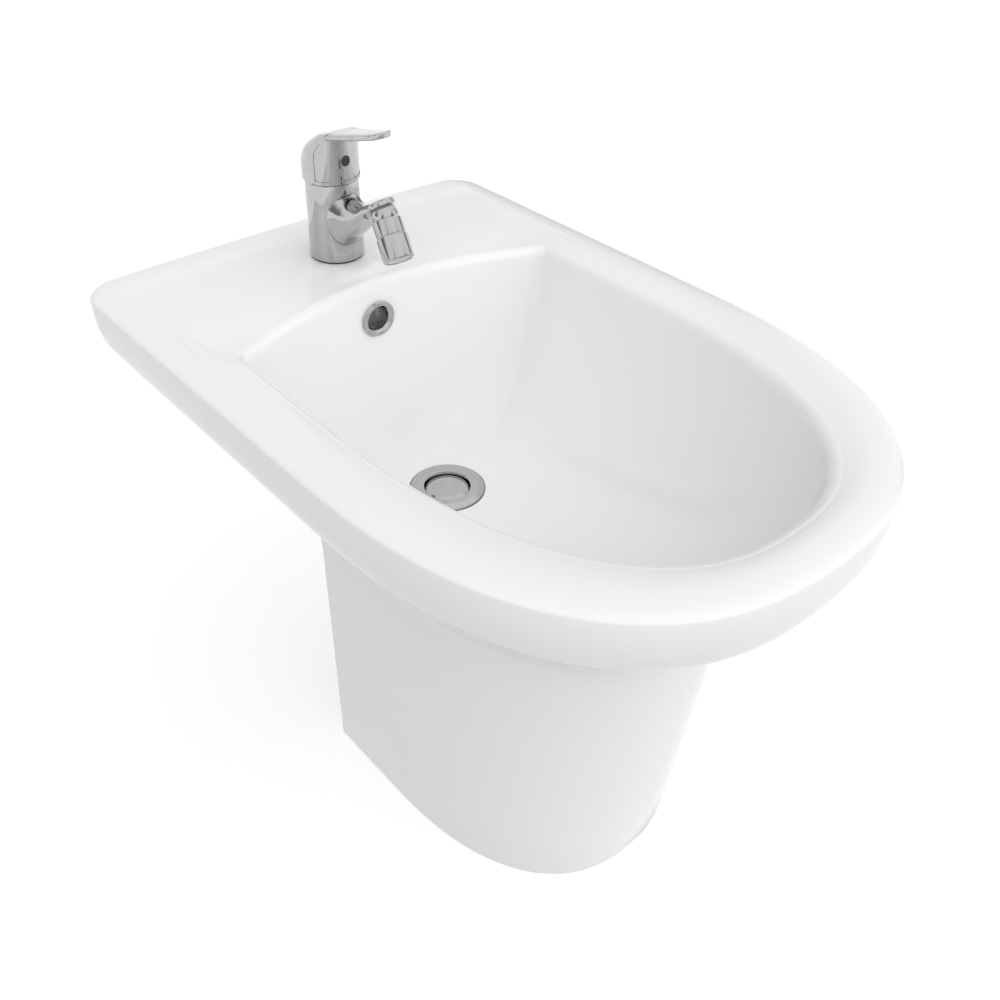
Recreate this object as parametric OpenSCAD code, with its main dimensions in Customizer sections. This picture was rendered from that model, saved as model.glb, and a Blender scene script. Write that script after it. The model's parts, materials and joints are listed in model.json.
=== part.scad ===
// Floor standing bidet: a glazed china casting with a single lever mixer tap, a swivel
// nozzle, an overflow ring and a push-to-open waste.
// Millimetres. +Z is up, -Y is the front, +X is to the right seen from the front.
// The origin is on the floor under the centre of the bowl's outline.

/* [Bowl outline] */
// Overall width of the bowl
body_w = 376; // [350:1:400]
// Overall length from the wall face to the front of the rim
body_l = 560; // [530:1:600]
// Height of the rim above the floor
rim_h = 400; // [380:1:430]
// Length of the straight flanks, from the wall face
flank_l = 312; // [280:1:340]
// Squareness of the rounded front: 2 is an ellipse
front_power = 2.4; // [2:0.05:3]
// Radius of the rear corners
corner_r = 45; // [30:1:60]
// Radius of the slight bow of the wall face
back_bow_r = 3300; // [1500:100:6000]

/* [Rim band] */
// How far the crest of the rim lies inside the outline
crest_in = 19; // [10:0.5:24]
// Height of the roll-over from the flank to the crest
crest_drop = 5; // [3:0.5:10]
// Height of the upright part of the band
band_h = 10; // [6:0.5:20]
// Height of the curve that tucks the band under
tuck_h = 39; // [25:0.5:50]
// How far the band tucks in under itself
tuck_in = 17; // [10:0.5:25]
// Thickness of the china walls
china_t = 11; // [9:0.5:14]

/* [Bowl opening] */
// Half width of the opening at the bowl wall
open_hw = 141; // [125:0.5:145]
// Distance from the wall face to the bowl wall behind the overflow
open_back = 128; // [120:1:140]
// Distance from the front of the rim to the bowl wall
open_front = 39; // [34:0.5:60]
// Length of the straight part of the opening, from the wall face
open_flank = 280; // [260:1:300]
// Corner radius at the back of the opening
open_corner_r = 14; // [10:0.5:22]
// Radius of the arc at the back of the opening
open_arc_r = 262; // [220:1:320]
// Rounding of the opening's upper edge
edge_r = 8; // [5:0.5:10]
// Fall of the rim's top towards the opening
land_fall = 2; // [1:0.5:3]
// Fall of the deck towards the opening
deck_fall = 7; // [4:0.5:9]
// Depth of the bowl from the rim to the floor at the waste
bowl_d = 160; // [140:1:170]
// Fullness of the bowl's cross-section: 2 is an ellipse
bowl_power = 2.3; // [2.1:0.05:2.6]

/* [Pedestal] */
// Half width of the foot
foot_hw = 115; // [105:0.5:120]
// Distance from the wall face to the back of the foot
foot_back = 194; // [185:1:205]
// Distance from the front of the rim to the front of the foot
foot_front = 105; // [95:1:120]
// Distance from the wall face to where the foot's front starts to round
foot_flank = 281; // [260:1:300]
// How far the pedestal leans forward up to its top
foot_lean = 26; // [15:1:35]
// Height of the pedestal's top at the front
neck_front_h = 266; // [255:1:275]
// Height of the pedestal's top along the sides
neck_side_h = 250; // [240:1:258]
// Corner radius at the back of the foot
foot_corner_r = 8; // [4:0.5:12]
// Height of the service opening in the back
service_h = 350; // [320:1:352]
// Length of the floor fixing lugs
lug_l = 34; // [28:1:40]
// Height of the floor fixing lugs
lug_h = 16; // [12:1:24]
// Radius of the floor fixing holes
lug_hole_r = 4.5; // [3.5:0.25:5.5]
// Spacing of the two floor fixing holes
lug_span = 172; // [160:1:178]
// Distance from the wall face to the floor fixing holes
lug_back = 230; // [220:1:260]

/* [Tap seat] */
// Distance from the wall face to the tap's axis
tap_back = 77; // [72:0.5:82]
// Radius of the tap hole
tap_hole_r = 17.5; // [17:0.25:18]
// How far the tap platform lies below the rim's crest
pad_fall = 1.5; // [1:0.25:2]
// Reach of the tap platform in front of the tap's axis
pad_reach = 40; // [34:0.5:41]
// Half width over which the platform's nose flares
pad_flare = 52; // [40:1:60]
// Distance from the wall face to the lip behind the platform
pad_back = 29; // [26:0.5:32]

/* [Overflow] */
// Depth of the overflow's axis below the rim
over_drop = 39; // [34:0.5:46]
// Radius of the overflow hole
over_hole_r = 12.5; // [11:0.25:13]
// Radius of the overflow ring's flange
over_ring_r = 15; // [14.5:0.25:17]
// Clear radius through the overflow ring
over_bore_r = 9.5; // [8:0.25:9.75]
// Thickness of the overflow ring's flange
over_ring_t = 3; // [2:0.25:4]
// Half width of the overflow channel
duct_hw = 10.5; // [9:0.5:14]
// Depth of the overflow channel behind the bowl
duct_d = 12; // [10:0.5:16]
// Thickness of the channel's walls
duct_t = 6; // [5:0.5:8]

/* [Waste] */
// Distance from the wall face to the waste's axis
waste_back = 216; // [208:1:220]
// Radius of the waste hole
waste_hole_r = 22.5; // [22:0.25:23]
// Radius of the waste flange
flange_r = 31; // [29:0.5:33]
// Thickness of the waste flange
flange_t = 3; // [2:0.25:3.5]
// Outer radius of the waste's threaded barrel
barrel_r = 20.95; // [20.5:0.05:21.5]
// Clear radius of the waste's barrel
barrel_bore_r = 17.2; // [16:0.1:17.5]
// Radius of the flange's mouth
mouth_r = 19.2; // [18.8:0.1:19.6]
// Length of the barrel below the flange
barrel_l = 74; // [68:1:80]
// Thickness of the seal under the flange
flange_seal_t = 1.5; // [1:0.25:2]
// Thickness of the china around the waste hole
boss_t = 26; // [22:1:30]
// Radius of the china boss around the waste hole
boss_r = 36; // [34:0.5:40]
// Height of the tapered seal below the boss
boss_seal_t = 8; // [6:0.5:10]
// Thickness of the slip washer
slip_t = 2; // [1.5:0.25:3]
// Height of the waste's back nut
waste_nut_t = 9; // [8:0.5:12]
// Width across the flats of the waste's back nut
waste_nut_af = 52; // [50:1:56]
// Outer radius of the tailpiece
tail_r = 16; // [15.5:0.25:16.25]
// Bore radius of the tailpiece
tail_bore_r = 14.6; // [13.5:0.1:14.75]
// Length of the tailpiece below the barrel
tail_l = 48; // [40:1:60]
// Radius of the plug
plug_r = 18.2; // [17.5:0.1:18.4]
// Thickness of the plug at its edge
plug_t = 2.5; // [2:0.25:3]
// Crown of the plug's top
plug_crown = 1.2; // [0.8:0.1:1.6]
// How far the plug's edge sits below the flange's top
plug_sink = 3.4; // [2:0.1:4]
// Radius of the plug's spindle
plug_stem_r = 2.5; // [2:0.1:3]
// Lift of the plug when it is open
plug_lift = 9; // [7:0.5:10]
// Radius of the spider's arms' hub
spider_r = 9.5; // [9:0.25:11]
// Height of the spider
spider_h = 8; // [6:0.5:10]
// Radius of the push-to-open sleeve
sleeve_r = 8; // [7.5:0.25:9]
// Turns of the waste's spring
spring_turns = 6; // [4:1:8]
// Wire thickness of the waste's spring
spring_wire = 0.9; // [0.7:0.05:1]

/* [Tap body] */
// Radius of the tap's body at the deck
tap_base_r = 22; // [21.5:0.25:24]
// Radius of the tap's body at its top
tap_top_r = 20.8; // [20.5:0.1:20.9]
// Height of the tap's body
tap_h = 62; // [58:0.5:68]
// Thickness of the seal under the tap
base_seal_t = 1.5; // [1:0.25:2]
// Wall of the groove that holds the seal
seal_rim = 1.2; // [1:0.1:1.5]
// Radius of the cartridge
cart_r = 17.5; // [17:0.25:17.75]
// Height of the chamber's floor in the tap's body
chamber_z = 20; // [18:0.5:24]
// Radius of the cartridge nut's thread
nut_r = 18.6; // [18.25:0.1:19]
// Height of the cartridge nut
nut_h = 9; // [7:0.5:10]
// Radius of the hose ports
port_r = 4.6; // [4.4:0.05:4.8]
// Depth of the hose ports
port_l = 11; // [9:0.5:12]
// Half spacing of the hose ports
port_x = 8; // [7.5:0.1:8.5]
// How far the hose ports lie in front of the tap's axis
port_y = 3; // [2:0.25:4]
// How far the fixing stud lies behind the tap's axis
stud_y = 10.5; // [10:0.25:11]
// Radius of the fixing stud
stud_r = 4; // [3:0.25:4]
// Length of the fixing stud below the tap
stud_l = 62; // [50:1:75]
// Length of the locating spigot below the tap
spigot_l = 5; // [3:0.5:8]
// Radius of the locating spigot
spigot_r = 16.8; // [16:0.1:16.9]
// Radius of the water channel in the spout
channel_r = 3; // [2.5:0.1:3]

/* [Tap fixing] */
// Radius of the horseshoe washer
shoe_r = 24; // [22:0.5:27]
// Thickness of the rubber horseshoe
shoe_seal_t = 3; // [2:0.25:4]
// Thickness of the steel horseshoe
shoe_t = 2; // [1.5:0.25:3]
// Height of the fixing nut
stud_nut_t = 8; // [6:0.5:10]
// Width across the flats of the fixing nut
stud_nut_af = 13; // [12:0.5:17]

/* [Swivel nozzle] */
// Reach of the swivel's centre in front of the tap's axis
ball_reach = 69.5; // [66:0.5:73]
// Height of the swivel's centre above the deck
ball_h = 53.5; // [51:0.5:57]
// Radius of the swivel ball
ball_r = 7; // [6.5:0.1:7.2]
// Radius of the rounded swivel housing
housing_r = 10.2; // [9.9:0.1:10.3]
// Tilt of the spout's end from the vertical
hub_tilt = 35; // [32:1:38]
// Radius of the spout's end
hub_r = 11.6; // [11.2:0.1:12.5]
// Height of the spout's end above the swivel's centre
hub_h = 14; // [14:0.5:16]
// Tilt of the nozzle from the vertical
nozzle_tilt = 38; // [35:1:42]
// Turn of the nozzle to the left
nozzle_turn = 11; // [0:1:12]
// Radius of the nozzle's collar
collar_r = 11.3; // [11.2:0.1:11.6]
// Radius of the nozzle's barrel
nozzle_r = 11.9; // [11.6:0.1:12.5]
// Length of the nozzle below the swivel's centre
nozzle_l = 34.5; // [32:0.5:37]
// Radius of the aerator's insert
aerator_r = 10; // [9.5:0.1:10.2]

/* [Lever] */
// Radius of the lever's cap
cap_r = 22.4; // [22:0.1:23]
// Bore radius of the lever's cap
cap_bore_r = 21.1; // [21.1:0.05:21.2]
// Gap between the tap's body and the lever's cap
cap_gap = 0.6; // [0.4:0.1:0.8]
// Height of the lever's cap above the tap's body
cap_h = 35.5; // [34:0.5:38]
// Height of the cap's upright wall at the back
wall_h = 11.4; // [9:0.2:13]
// Rise of the dome at the cap's back
dome_rise = 21; // [18:0.5:23]
// Depth of the recess in the cap's front
recess_d = 0.6; // [0.3:0.1:0.7]
// Reach of the lever's tip in front of the tap's axis
lever_reach = 74; // [65:0.5:85]
// Slope of the lever's top at its root
lever_slope = 0.205; // [0.1:0.005:0.25]
// Half width of the lever at its root
root_hw = 15.8; // [13:0.2:17]
// Radius of the lever's rounded tip
tip_r = 10.2; // [8:0.2:12]
// Thickness of the lever at its root
lever_t = 4.4; // [4:0.2:6]
// Thickness of the lever at its tip
tip_t = 5; // [4:0.1:6]
// Height of the lever's tilt axis above the deck
tilt_h = 56; // [54:0.5:57]
// Half width of the square spindle
stem_hw = 4; // [3.5:0.1:4.2]
// Radius of the index plug
index_r = 4; // [3.5:0.1:4.5]
// Length from the tilt axis down to the spindle's ball
toe_l = 14; // [13:0.5:15]

/* [Fits] */
// Clearance of running and sliding fits
run_gap = 0.05; // [0.02:0.01:0.1]
// Clearance between pieces that are only placed together
part_gap = 0.3; // [0.2:0.05:0.4]

/* [Hidden] */
$fn = 64;
fn_small = 32;
eps = 0.01;
over = 20;

y_wall = body_l / 2;
y_front = -body_l / 2;
hw = body_w / 2;
flank_y = y_wall - flank_l;
flare_l = 90;
band_top = rim_h - crest_drop;
tuck_top = band_top - band_h;
tuck_bottom = tuck_top - tuck_h;
ceiling_z = rim_h - china_t - 4;
open_y = y_wall - open_back;
bowl_floor_z = rim_h - bowl_d;
tap_y = y_wall - tap_back;
pad_z = rim_h - pad_fall;
tap_z = pad_z + base_seal_t;
waste_y = y_wall - waste_back;
boss_top = bowl_floor_z - 2;
boss_bottom = boss_top - boss_t;
flange_top = boss_top + flange_seal_t + flange_t;
barrel_bottom = flange_top - flange_t - barrel_l;
spider_z = barrel_bottom + 18;
over_z = rim_h - over_drop;
plug_edge_z = flange_top - plug_sink;
dish_r = 34;
joint_z = boss_bottom - 7;

// Points along half an outline and rings along the bowl wall
n_back = 4;
n_corner = 4;
n_flank = 3;
n_front = 14;
n_wall = 9;

// ---------- outline and loft functions ----------

function ease(t) = let (c = min(max(t, 0), 1)) c * c * (3 - 2 * c);
function mix(a, b, t) = a + (b - a) * t;

// Half of a D-shaped outline: bowed back, rounded corner, straight flank, superellipse front
function d_half(w, back, flank, front, rc, rb, power) =
    let (
        cx = w - rc,
        reach = rb - rc,
        cy = back - rb + sqrt(reach * reach - cx * cx),
        turn = asin(cx / reach)
    )
    [
        for (i = [0 : n_back - 1]) let (a = turn * i / n_back) [rb * sin(a), back - rb + rb * cos(a)],
        for (i = [0 : n_corner - 1]) let (a = mix(turn, 90, i / n_corner)) [cx + rc * sin(a), cy + rc * cos(a)],
        for (i = [0 : n_flank - 1]) [w, mix(cy, flank, i / n_flank)],
        for (i = [0 : n_front]) let (a = 90 * i / n_front)
            [w * pow(abs(cos(a)), 2 / power), flank - (flank - front) * pow(sin(a), 2 / power)]
    ];

// A half outline closed by its mirror image, as one turn of points
function whole(half) =
    let (last = len(half) - 1)
    [
        for (p = half) p,
        for (i = [1 : last - 1]) let (p = half[last - i]) [-p[0], p[1]]
    ];

function outline(d) = whole(d_half(hw - d, y_wall - d, flank_y, y_front + d,
    max(corner_r - d, 4), back_bow_r - d, front_power));
function opening(d) = whole(d_half(open_hw + d, open_y + d, y_wall - open_flank, y_front + open_front - d,
    open_corner_r + d, open_arc_r + d, front_power));
function foot(d, lean) = whole(d_half(foot_hw - d, y_wall - foot_back - d, y_wall - foot_flank,
    y_front + foot_front - lean + d, foot_corner_r, back_bow_r, front_power));

function at_z(ring, z) = [for (p = ring) [p[0], p[1], z]];
function mix_ring(a, b, t) = [for (i = [0 : len(a) - 1]) mix(a[i], b[i], t)];
function shift_z(ring, dz) = [for (p = ring) [p[0], p[1], p[2] + dz]];

// The circle round the waste that each point of a ring runs down to
function waste_circle(ring, r, z) = [
    for (p = ring) let (d = [p[0], p[1] - waste_y], l = norm(d)) [d[0] * r / l, waste_y + d[1] * r / l, z]
];

// Height of the neck between pedestal and bowl, higher towards the front
function neck_z(y) = mix(neck_side_h, neck_front_h, ease((flank_y - y) / (flank_y - y_front) * 1.4));
// How much of the deck's shape the rim has at y: none along the sides, all of it behind the bowl
function deck_share(y) = ease((y - open_y + 60) / 50);
// Height of the opening's upper edge: the deck falls further than the rim
function edge_z(y) = rim_h - mix(land_fall, deck_fall, deck_share(y));

function foot_ring(d, z) = at_z(foot(d, foot_lean * z / neck_front_h), z);
function neck_ring(d) = [for (p = foot(d, foot_lean)) [p[0], p[1], neck_z(p[1])]];

// Rings from the floor up the outside and over the crest
function outer_rings(d, bulge) =
    let (
        neck = neck_ring(d),
        tuck = at_z(outline(tuck_in + d), tuck_bottom)
    )
    concat(
        [neck],
        [for (i = [1 : 4]) let (t = i / 5) shift_z(mix_ring(neck, tuck, t), -bulge * 4 * t * (1 - t))],
        [for (i = [0 : 5]) let (a = 90 * i / 5)
            at_z(outline(tuck_in * (1 - sin(a)) + d), tuck_top - tuck_h * cos(a))]
    );

crest_rings = [for (i = [0 : 4]) let (a = 90 * i / 4)
    at_z(outline(crest_in * (1 - cos(a))), band_top + crest_drop * sin(a))];
land_rings = let (crest = outline(crest_in), edge = opening(edge_r))
    [for (t = [0.1, 0.6]) [
        for (i = [0 : len(crest) - 1]) let (p = mix(crest[i], edge[i], t))
            [p[0], p[1], rim_h - mix(land_fall * t * t, pad_fall + deck_fall * t * t / 2, deck_share(p[1]))]
    ]];
edge_rings = [for (i = [0 : 3]) let (a = 90 * i / 3, ring = opening(edge_r * (1 - sin(a)))) [
    for (p = ring) [p[0], p[1], edge_z(p[1]) - edge_r * (1 - cos(a))]
]];

// Rings down the bowl wall to the circle round the waste, moved outward by d
function wall_rings(d) =
    let (
        top = [for (p = opening(d)) [p[0], p[1], edge_z(p[1]) - edge_r]],
        low = waste_circle(top, dish_r + d, bowl_floor_z - d)
    )
    [for (i = [1 : n_wall]) let (
        a = 90 * i / n_wall,
        across = 1 - pow(abs(cos(a)), 2 / bowl_power),
        down = pow(sin(a), 2 / bowl_power)
    ) [
        for (k = [0 : len(top) - 1]) let (p = top[k], q = low[k])
            [mix(p[0], q[0], across), mix(p[1], q[1], across), mix(p[2], q[2], down)]
    ]];

// A closed solid through rings of equal length, listed from its lower cap to its upper cap
module loft(rings) {
    n = len(rings[0]);
    last = len(rings) - 1;
    points = [for (ring = rings) each ring];
    sides = [for (r = [0 : last - 1], i = [0 : n - 1]) let (
        j = (i + 1) % n, a = r * n + i, b = r * n + j, c = (r + 1) * n + j, d = (r + 1) * n + i
    ) each [[a, b, c], [a, c, d]]];
    foot_cap = [for (i = [0 : n - 1]) n - 1 - i];
    top_cap = [for (i = [0 : n - 1]) last * n + i];
    polyhedron(points, concat([foot_cap], sides, [top_cap]));
}

// ---------- china ----------

// The glazed skin: up the pedestal, round the band, over the rim and down into the bowl
module china_skin() {
    loft(concat([foot_ring(1.5, 0), foot_ring(0, 1.5)], outer_rings(0, 4), crest_rings, land_rings,
        edge_rings, wall_rings(0)));
}

// The bowl as a solid that reaches d into its wall
module bowl_solid(d) {
    rings = wall_rings(d);
    top = at_z(opening(d), rim_h + over);
    loft([for (i = [len(rings) - 1 : -1 : 0]) rings[i], top]);
}

// Everything inside the outer wall
module core() {
    loft(concat([foot_ring(china_t, -over)], outer_rings(china_t, 4), [at_z(outline(china_t), ceiling_z)]));
}

// The opening in the back, which leaves the band's wall face standing
module service_space() {
    half = foot_hw - china_t;
    translate([-half, y_wall - foot_back - china_t - over, -over])
        cube([2 * half, foot_back - china_t - tuck_in + over, service_h + over]);
}

// Seen from above, the level platform round the tap: a nose that flares towards the wall
module pad_outline() {
    steps = 12;
    span = 1.5 * pad_flare;
    back = y_wall - pad_back;
    nose = [for (i = [-steps : steps]) let (x = span * i / steps)
        [x, min(tap_y - pad_reach + flare_l * (1 - exp(-pow(x / pad_flare, 2))), back - 1)]];
    polygon(concat(nose, [[span, back], [-span, back]]));
}

// The platform's flat top, from z up by h
module pad_slab(z, h) {
    translate([0, 0, z])
        linear_extrude(h)
            pad_outline();
}

// Side view of the overflow channel behind the bowl, grown by g
module duct_profile(g) {
    polygon([
        [open_y - 14 - g, over_z + over_hole_r + g],
        [open_y + china_t + duct_d + g, over_z + over_hole_r + g],
        [open_y + china_t + duct_d + g, over_z - 40],
        [waste_y + boss_r + 50 + g, boss_top],
        [waste_y + boss_r + 25 + g, boss_bottom + 4 - min(g, 4)],
        [waste_y + waste_hole_r / 2, boss_bottom + 4 - min(g, 4)],
        [waste_y + waste_hole_r / 2, boss_bottom + 16],
        [open_y - 4 - g, over_z - 60]
    ]);
}

module duct(g) {
    translate([-duct_hw - g, 0, 0])
        rotate([90, 0, 90])
            linear_extrude(2 * (duct_hw + g))
                duct_profile(g);
}

module lug(side) {
    reach = lug_l + china_t;
    mirror([side < 0 ? 1 : 0, 0, 0])
        translate([(lug_span - lug_l) / 2, y_wall - lug_back - lug_l / 2, 0])
            cube([reach, lug_l, lug_h]);
}

// The china is one casting. Its three regions are nodes of their own, which meet without a gap:
// the rim with the deck and outer wall, the bowl with its channel and boss, and the pedestal.
// Each is faceted, so resize, which changes no size here, hands it on as one finished mesh.

// The outer wall with its hollow, from z = 0 to the deck
module outer_wall() {
    difference() {
        china_skin();
        core();
        service_space();
    }
}

// Everything above or below the level where the pedestal meets the bowl's part
module above_joint() {
    translate([-hw, y_front, joint_z])
        cube([body_w, body_l, rim_h]);
}

module below_joint() {
    translate([-hw, y_front, -over])
        cube([body_w, body_l, joint_z + over]);
}

module china_rim() {
    color("white")
        difference() {
            resize([body_w, body_l, 0])
                difference() {
                    union() {
                        difference() {
                            intersection() {
                                outer_wall();
                                above_joint();
                            }
                            pad_slab(pad_z, over);
                        }
                        pad_slab(ceiling_z, pad_z - ceiling_z);
                    }
                    bowl_solid(china_t);
                }
            translate([0, tap_y, ceiling_z - over])
                cylinder(r = tap_hole_r, h = 2 * over + rim_h - ceiling_z);
        }
}

// The bowl's wall, the boss round the waste and the overflow channel, before the bores
module bowl_casting() {
    difference() {
        union() {
            intersection() {
                china_skin();
                bowl_solid(china_t);
            }
            translate([0, waste_y, boss_bottom])
                cylinder(r = boss_r, h = boss_t - 1);
            difference() {
                duct(duct_t);
                bowl_solid(china_t / 2);
            }
        }
        difference() {
            duct(0);
            bowl_solid(china_t);
        }
        translate([0, waste_y, boss_bottom - over])
            cylinder(r = waste_hole_r - 1, h = boss_t + 2 * over);
        translate([0, waste_y, boss_top])
            cylinder(r = flange_r + 1, h = over);
        at_overflow()
            cylinder(r = over_ring_r + 1, h = over);
    }
}

module china_bowl() {
    color("whitesmoke")
        difference() {
            resize([0, 0, 0])
                bowl_casting();
            translate([0, waste_y, boss_bottom - over])
                cylinder(r = waste_hole_r, h = boss_t + 2 * over);
            at_overflow()
                translate([0, 0, -china_t - duct_d / 2])
                    cylinder(r = over_hole_r, h = china_t + duct_d / 2 + over);
        }
}

module china_pedestal() {
    color("gainsboro")
        difference() {
            resize([0, 0, joint_z])
                union() {
                    intersection() {
                        outer_wall();
                        below_joint();
                    }
                    intersection() {
                        union() {
                            lug(1);
                            lug(-1);
                        }
                        loft([foot_ring(china_t / 2, 0), foot_ring(china_t / 2, lug_h + 1)]);
                    }
                }
            for (side = [-1, 1])
                translate([side * lug_span / 2, y_wall - lug_back, -over])
                    cylinder(r = lug_hole_r, h = lug_h + 2 * over, $fn = fn_small);
        }
}

// ---------- overflow ----------

module at_overflow() {
    translate([0, overflow_wall_y, over_z])
        rotate([90, 0, 0])
            children();
}

// Where the bowl's back wall stands at the overflow's height
over_depth = (edge_z(open_y) - edge_r - over_z) / (edge_z(open_y) - edge_r - bowl_floor_z);
over_angle = asin(pow(over_depth, bowl_power / 2));
over_across = 1 - pow(cos(over_angle), 2 / bowl_power);
overflow_wall_y = mix(open_y, waste_y + dish_r, over_across);

module overflow_ring() {
    seat = 1;
    color("silver")
        at_overflow()
            difference() {
                union() {
                    translate([0, 0, seat])
                        cylinder(r = over_ring_r, h = over_ring_t - 1);
                    translate([0, 0, seat + over_ring_t - 1])
                        cylinder(r1 = over_ring_r, r2 = over_ring_r - 1, h = 1);
                    translate([0, 0, -10])
                        cylinder(r = over_bore_r + 1, h = 10 + seat);
                }
                translate([0, 0, -over])
                    cylinder(r = over_bore_r, h = 3 * over);
                translate([0, 0, seat])
                    cylinder(r1 = over_bore_r, r2 = over_bore_r + 2.5, h = over_ring_t + eps);
            }
}

module overflow_sleeve() {
    seat = 1;
    color("whitesmoke")
        at_overflow()
            difference() {
                union() {
                    translate([0, 0, -9])
                        cylinder(r = over_hole_r - run_gap, h = 9 + seat);
                    cylinder(r = over_ring_r - 0.6, h = seat);
                }
                translate([0, 0, -over])
                    cylinder(r = over_bore_r + 1 + run_gap, h = 3 * over);
            }
}

// ---------- waste ----------

module at_waste(z) {
    translate([0, waste_y, z])
        children();
}

module ring(r_out, r_in, h) {
    difference() {
        cylinder(r = r_out, h = h);
        translate([0, 0, -1])
            cylinder(r = r_in, h = h + 2);
    }
}

module hex_ring(af, r_in, h) {
    difference() {
        cylinder(r = af / 2 / cos(30), h = h, $fn = 6);
        translate([0, 0, -1])
            cylinder(r = r_in, h = h + 2);
    }
}

module waste_body() {
    slot_w = 9;
    slot_z = boss_bottom + 4;
    arm_w = 4;
    color("silver")
        difference() {
            union() {
                at_waste(flange_top - flange_t) {
                    cylinder(r = flange_r, h = flange_t - 1.5);
                    translate([0, 0, flange_t - 1.5])
                        cylinder(r1 = flange_r, r2 = flange_r - 4, h = 1.5);
                }
                at_waste(barrel_bottom)
                    cylinder(r = barrel_r, h = barrel_l + eps);
            }
            difference() {
                at_waste(barrel_bottom - over)
                    cylinder(r = barrel_bore_r, h = 2 * barrel_l);
                at_waste(spider_z) {
                    cylinder(r = spider_r, h = spider_h);
                    for (a = [0, 120, 240])
                        rotate([0, 0, a])
                            translate([0, -arm_w / 2, 0])
                                cube([barrel_r, arm_w, spider_h]);
                }
            }
            at_waste(spider_z - 1)
                cylinder(r = sleeve_r - 2, h = spider_h + 2);
            at_waste(flange_top - 8)
                cylinder(r1 = barrel_bore_r, r2 = mouth_r, h = 3);
            at_waste(flange_top - 5 - eps)
                cylinder(r = mouth_r, h = 6);
            for (a = [0, 90, 180, 270])
                at_waste(slot_z)
                    rotate([0, 0, a])
                        translate([0, -slot_w / 2, 0])
                            cube([barrel_r + 2, slot_w, 10]);
        }
}

module flange_seal() {
    color("dimgray")
        at_waste(boss_top)
            ring(flange_r - 1, barrel_r + part_gap, flange_seal_t);
}

boss_seal_top = boss_bottom + 3;
slip_z = boss_seal_top - boss_seal_t - slip_t;

module boss_seal() {
    color("dimgray")
        at_waste(boss_seal_top - boss_seal_t)
            difference() {
                union() {
                    cylinder(r = boss_r - 6, h = boss_seal_t - 3);
                    translate([0, 0, boss_seal_t - 3 - eps])
                        cylinder(r1 = waste_hole_r - run_gap, r2 = barrel_r + 0.7, h = 3);
                }
                translate([0, 0, -1])
                    cylinder(r = barrel_r + run_gap, h = boss_seal_t + 2);
            }
}

module slip_washer() {
    color("whitesmoke")
        at_waste(slip_z)
            ring(boss_r - 7, barrel_r + run_gap, slip_t);
}

module waste_nut() {
    color("goldenrod")
        at_waste(slip_z - waste_nut_t)
            hex_ring(waste_nut_af, barrel_r + run_gap, waste_nut_t);
}

module tailpiece() {
    color("silver")
        difference() {
            union() {
                at_waste(barrel_bottom - tail_l)
                    cylinder(r = tail_r, h = tail_l + 10);
                at_waste(barrel_bottom - 3)
                    cylinder(r = barrel_r, h = 3);
                at_waste(barrel_bottom - eps)
                    cylinder(r = barrel_bore_r - run_gap, h = 10);
            }
            at_waste(barrel_bottom - tail_l - 1)
                cylinder(r = tail_bore_r, h = tail_l + 20);
        }
}

// The push-to-open sleeve stands in the spider and holds the spring and the latch
sleeve_foot = spider_z + spider_h;
collar_z = sleeve_foot + 10;
collar_t = 2;
lid_t = 3;
cap_floor = collar_z + collar_t + plug_lift + 2;

module push_sleeve() {
    color("whitesmoke")
        difference() {
            union() {
                at_waste(sleeve_foot)
                    cylinder(r = sleeve_r, h = cap_floor - sleeve_foot);
                at_waste(sleeve_foot - spider_h)
                    cylinder(r = sleeve_r - 2 - run_gap, h = spider_h + 1);
            }
            at_waste(sleeve_foot + 1)
                cylinder(r = sleeve_r - 1.6, h = 2 * over);
            at_waste(sleeve_foot - over)
                cylinder(r = plug_stem_r + run_gap, h = 2 * over);
        }
}

module sleeve_cap() {
    color("whitesmoke")
        at_waste(cap_floor)
            ring(sleeve_r, plug_stem_r + run_gap, lid_t);
}

module latch_ring() {
    color("goldenrod")
        at_waste(sleeve_foot + 1)
            ring(sleeve_r - 1.6 - run_gap, plug_stem_r + part_gap, 2);
}

// A round-wire compression spring, as one tube round a helix
module plug_spring() {
    steps = 10;
    sides = 5;
    base = sleeve_foot + 3;
    height = collar_z - base;
    mean_r = plug_stem_r + part_gap + spring_wire + 0.5;
    total = spring_turns * steps;
    rise = height - spring_wire;
    color("gray")
        at_waste(base + spring_wire / 2)
            loft([for (k = [0 : total]) let (a = 360 * k / steps, z = rise * k / total) [
                for (s = [0 : sides - 1]) let (b = 360 * s / sides, r = mean_r + spring_wire / 2 * cos(b))
                    [r * cos(a), r * sin(a), z + spring_wire / 2 * sin(b)]
            ]]);
}

module plug_spindle() {
    foot_z = spider_z - 4;
    color("goldenrod") {
        at_waste(foot_z)
            cylinder(r = plug_stem_r, h = plug_edge_z - 1 - foot_z, $fn = fn_small);
        at_waste(collar_z)
            cylinder(r = sleeve_r - 1.6 - part_gap, h = collar_t);
    }
}

module plug_cap() {
    socket = 4;
    groove_r = plug_r - 2.6;
    under = plug_edge_z - plug_t;
    color("silver")
        difference() {
            union() {
                at_waste(under)
                    cylinder(r = plug_r, h = plug_t);
                at_waste(plug_edge_z - eps)
                    cylinder(r1 = plug_r, r2 = plug_r - 5, h = plug_crown);
                at_waste(under - 2 * plug_seal_r)
                    cylinder(r = groove_r, h = 2 * plug_seal_r + 1);
                at_waste(under - 2 * plug_seal_r - 1)
                    cylinder(r = groove_r + 0.7, h = 1);
                at_waste(under - socket)
                    cylinder(r = plug_stem_r + 3, h = socket + 1);
            }
            at_waste(under - socket - 1)
                cylinder(r = plug_stem_r + run_gap, h = socket + plug_t);
        }
}

plug_seal_r = 1;

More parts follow.
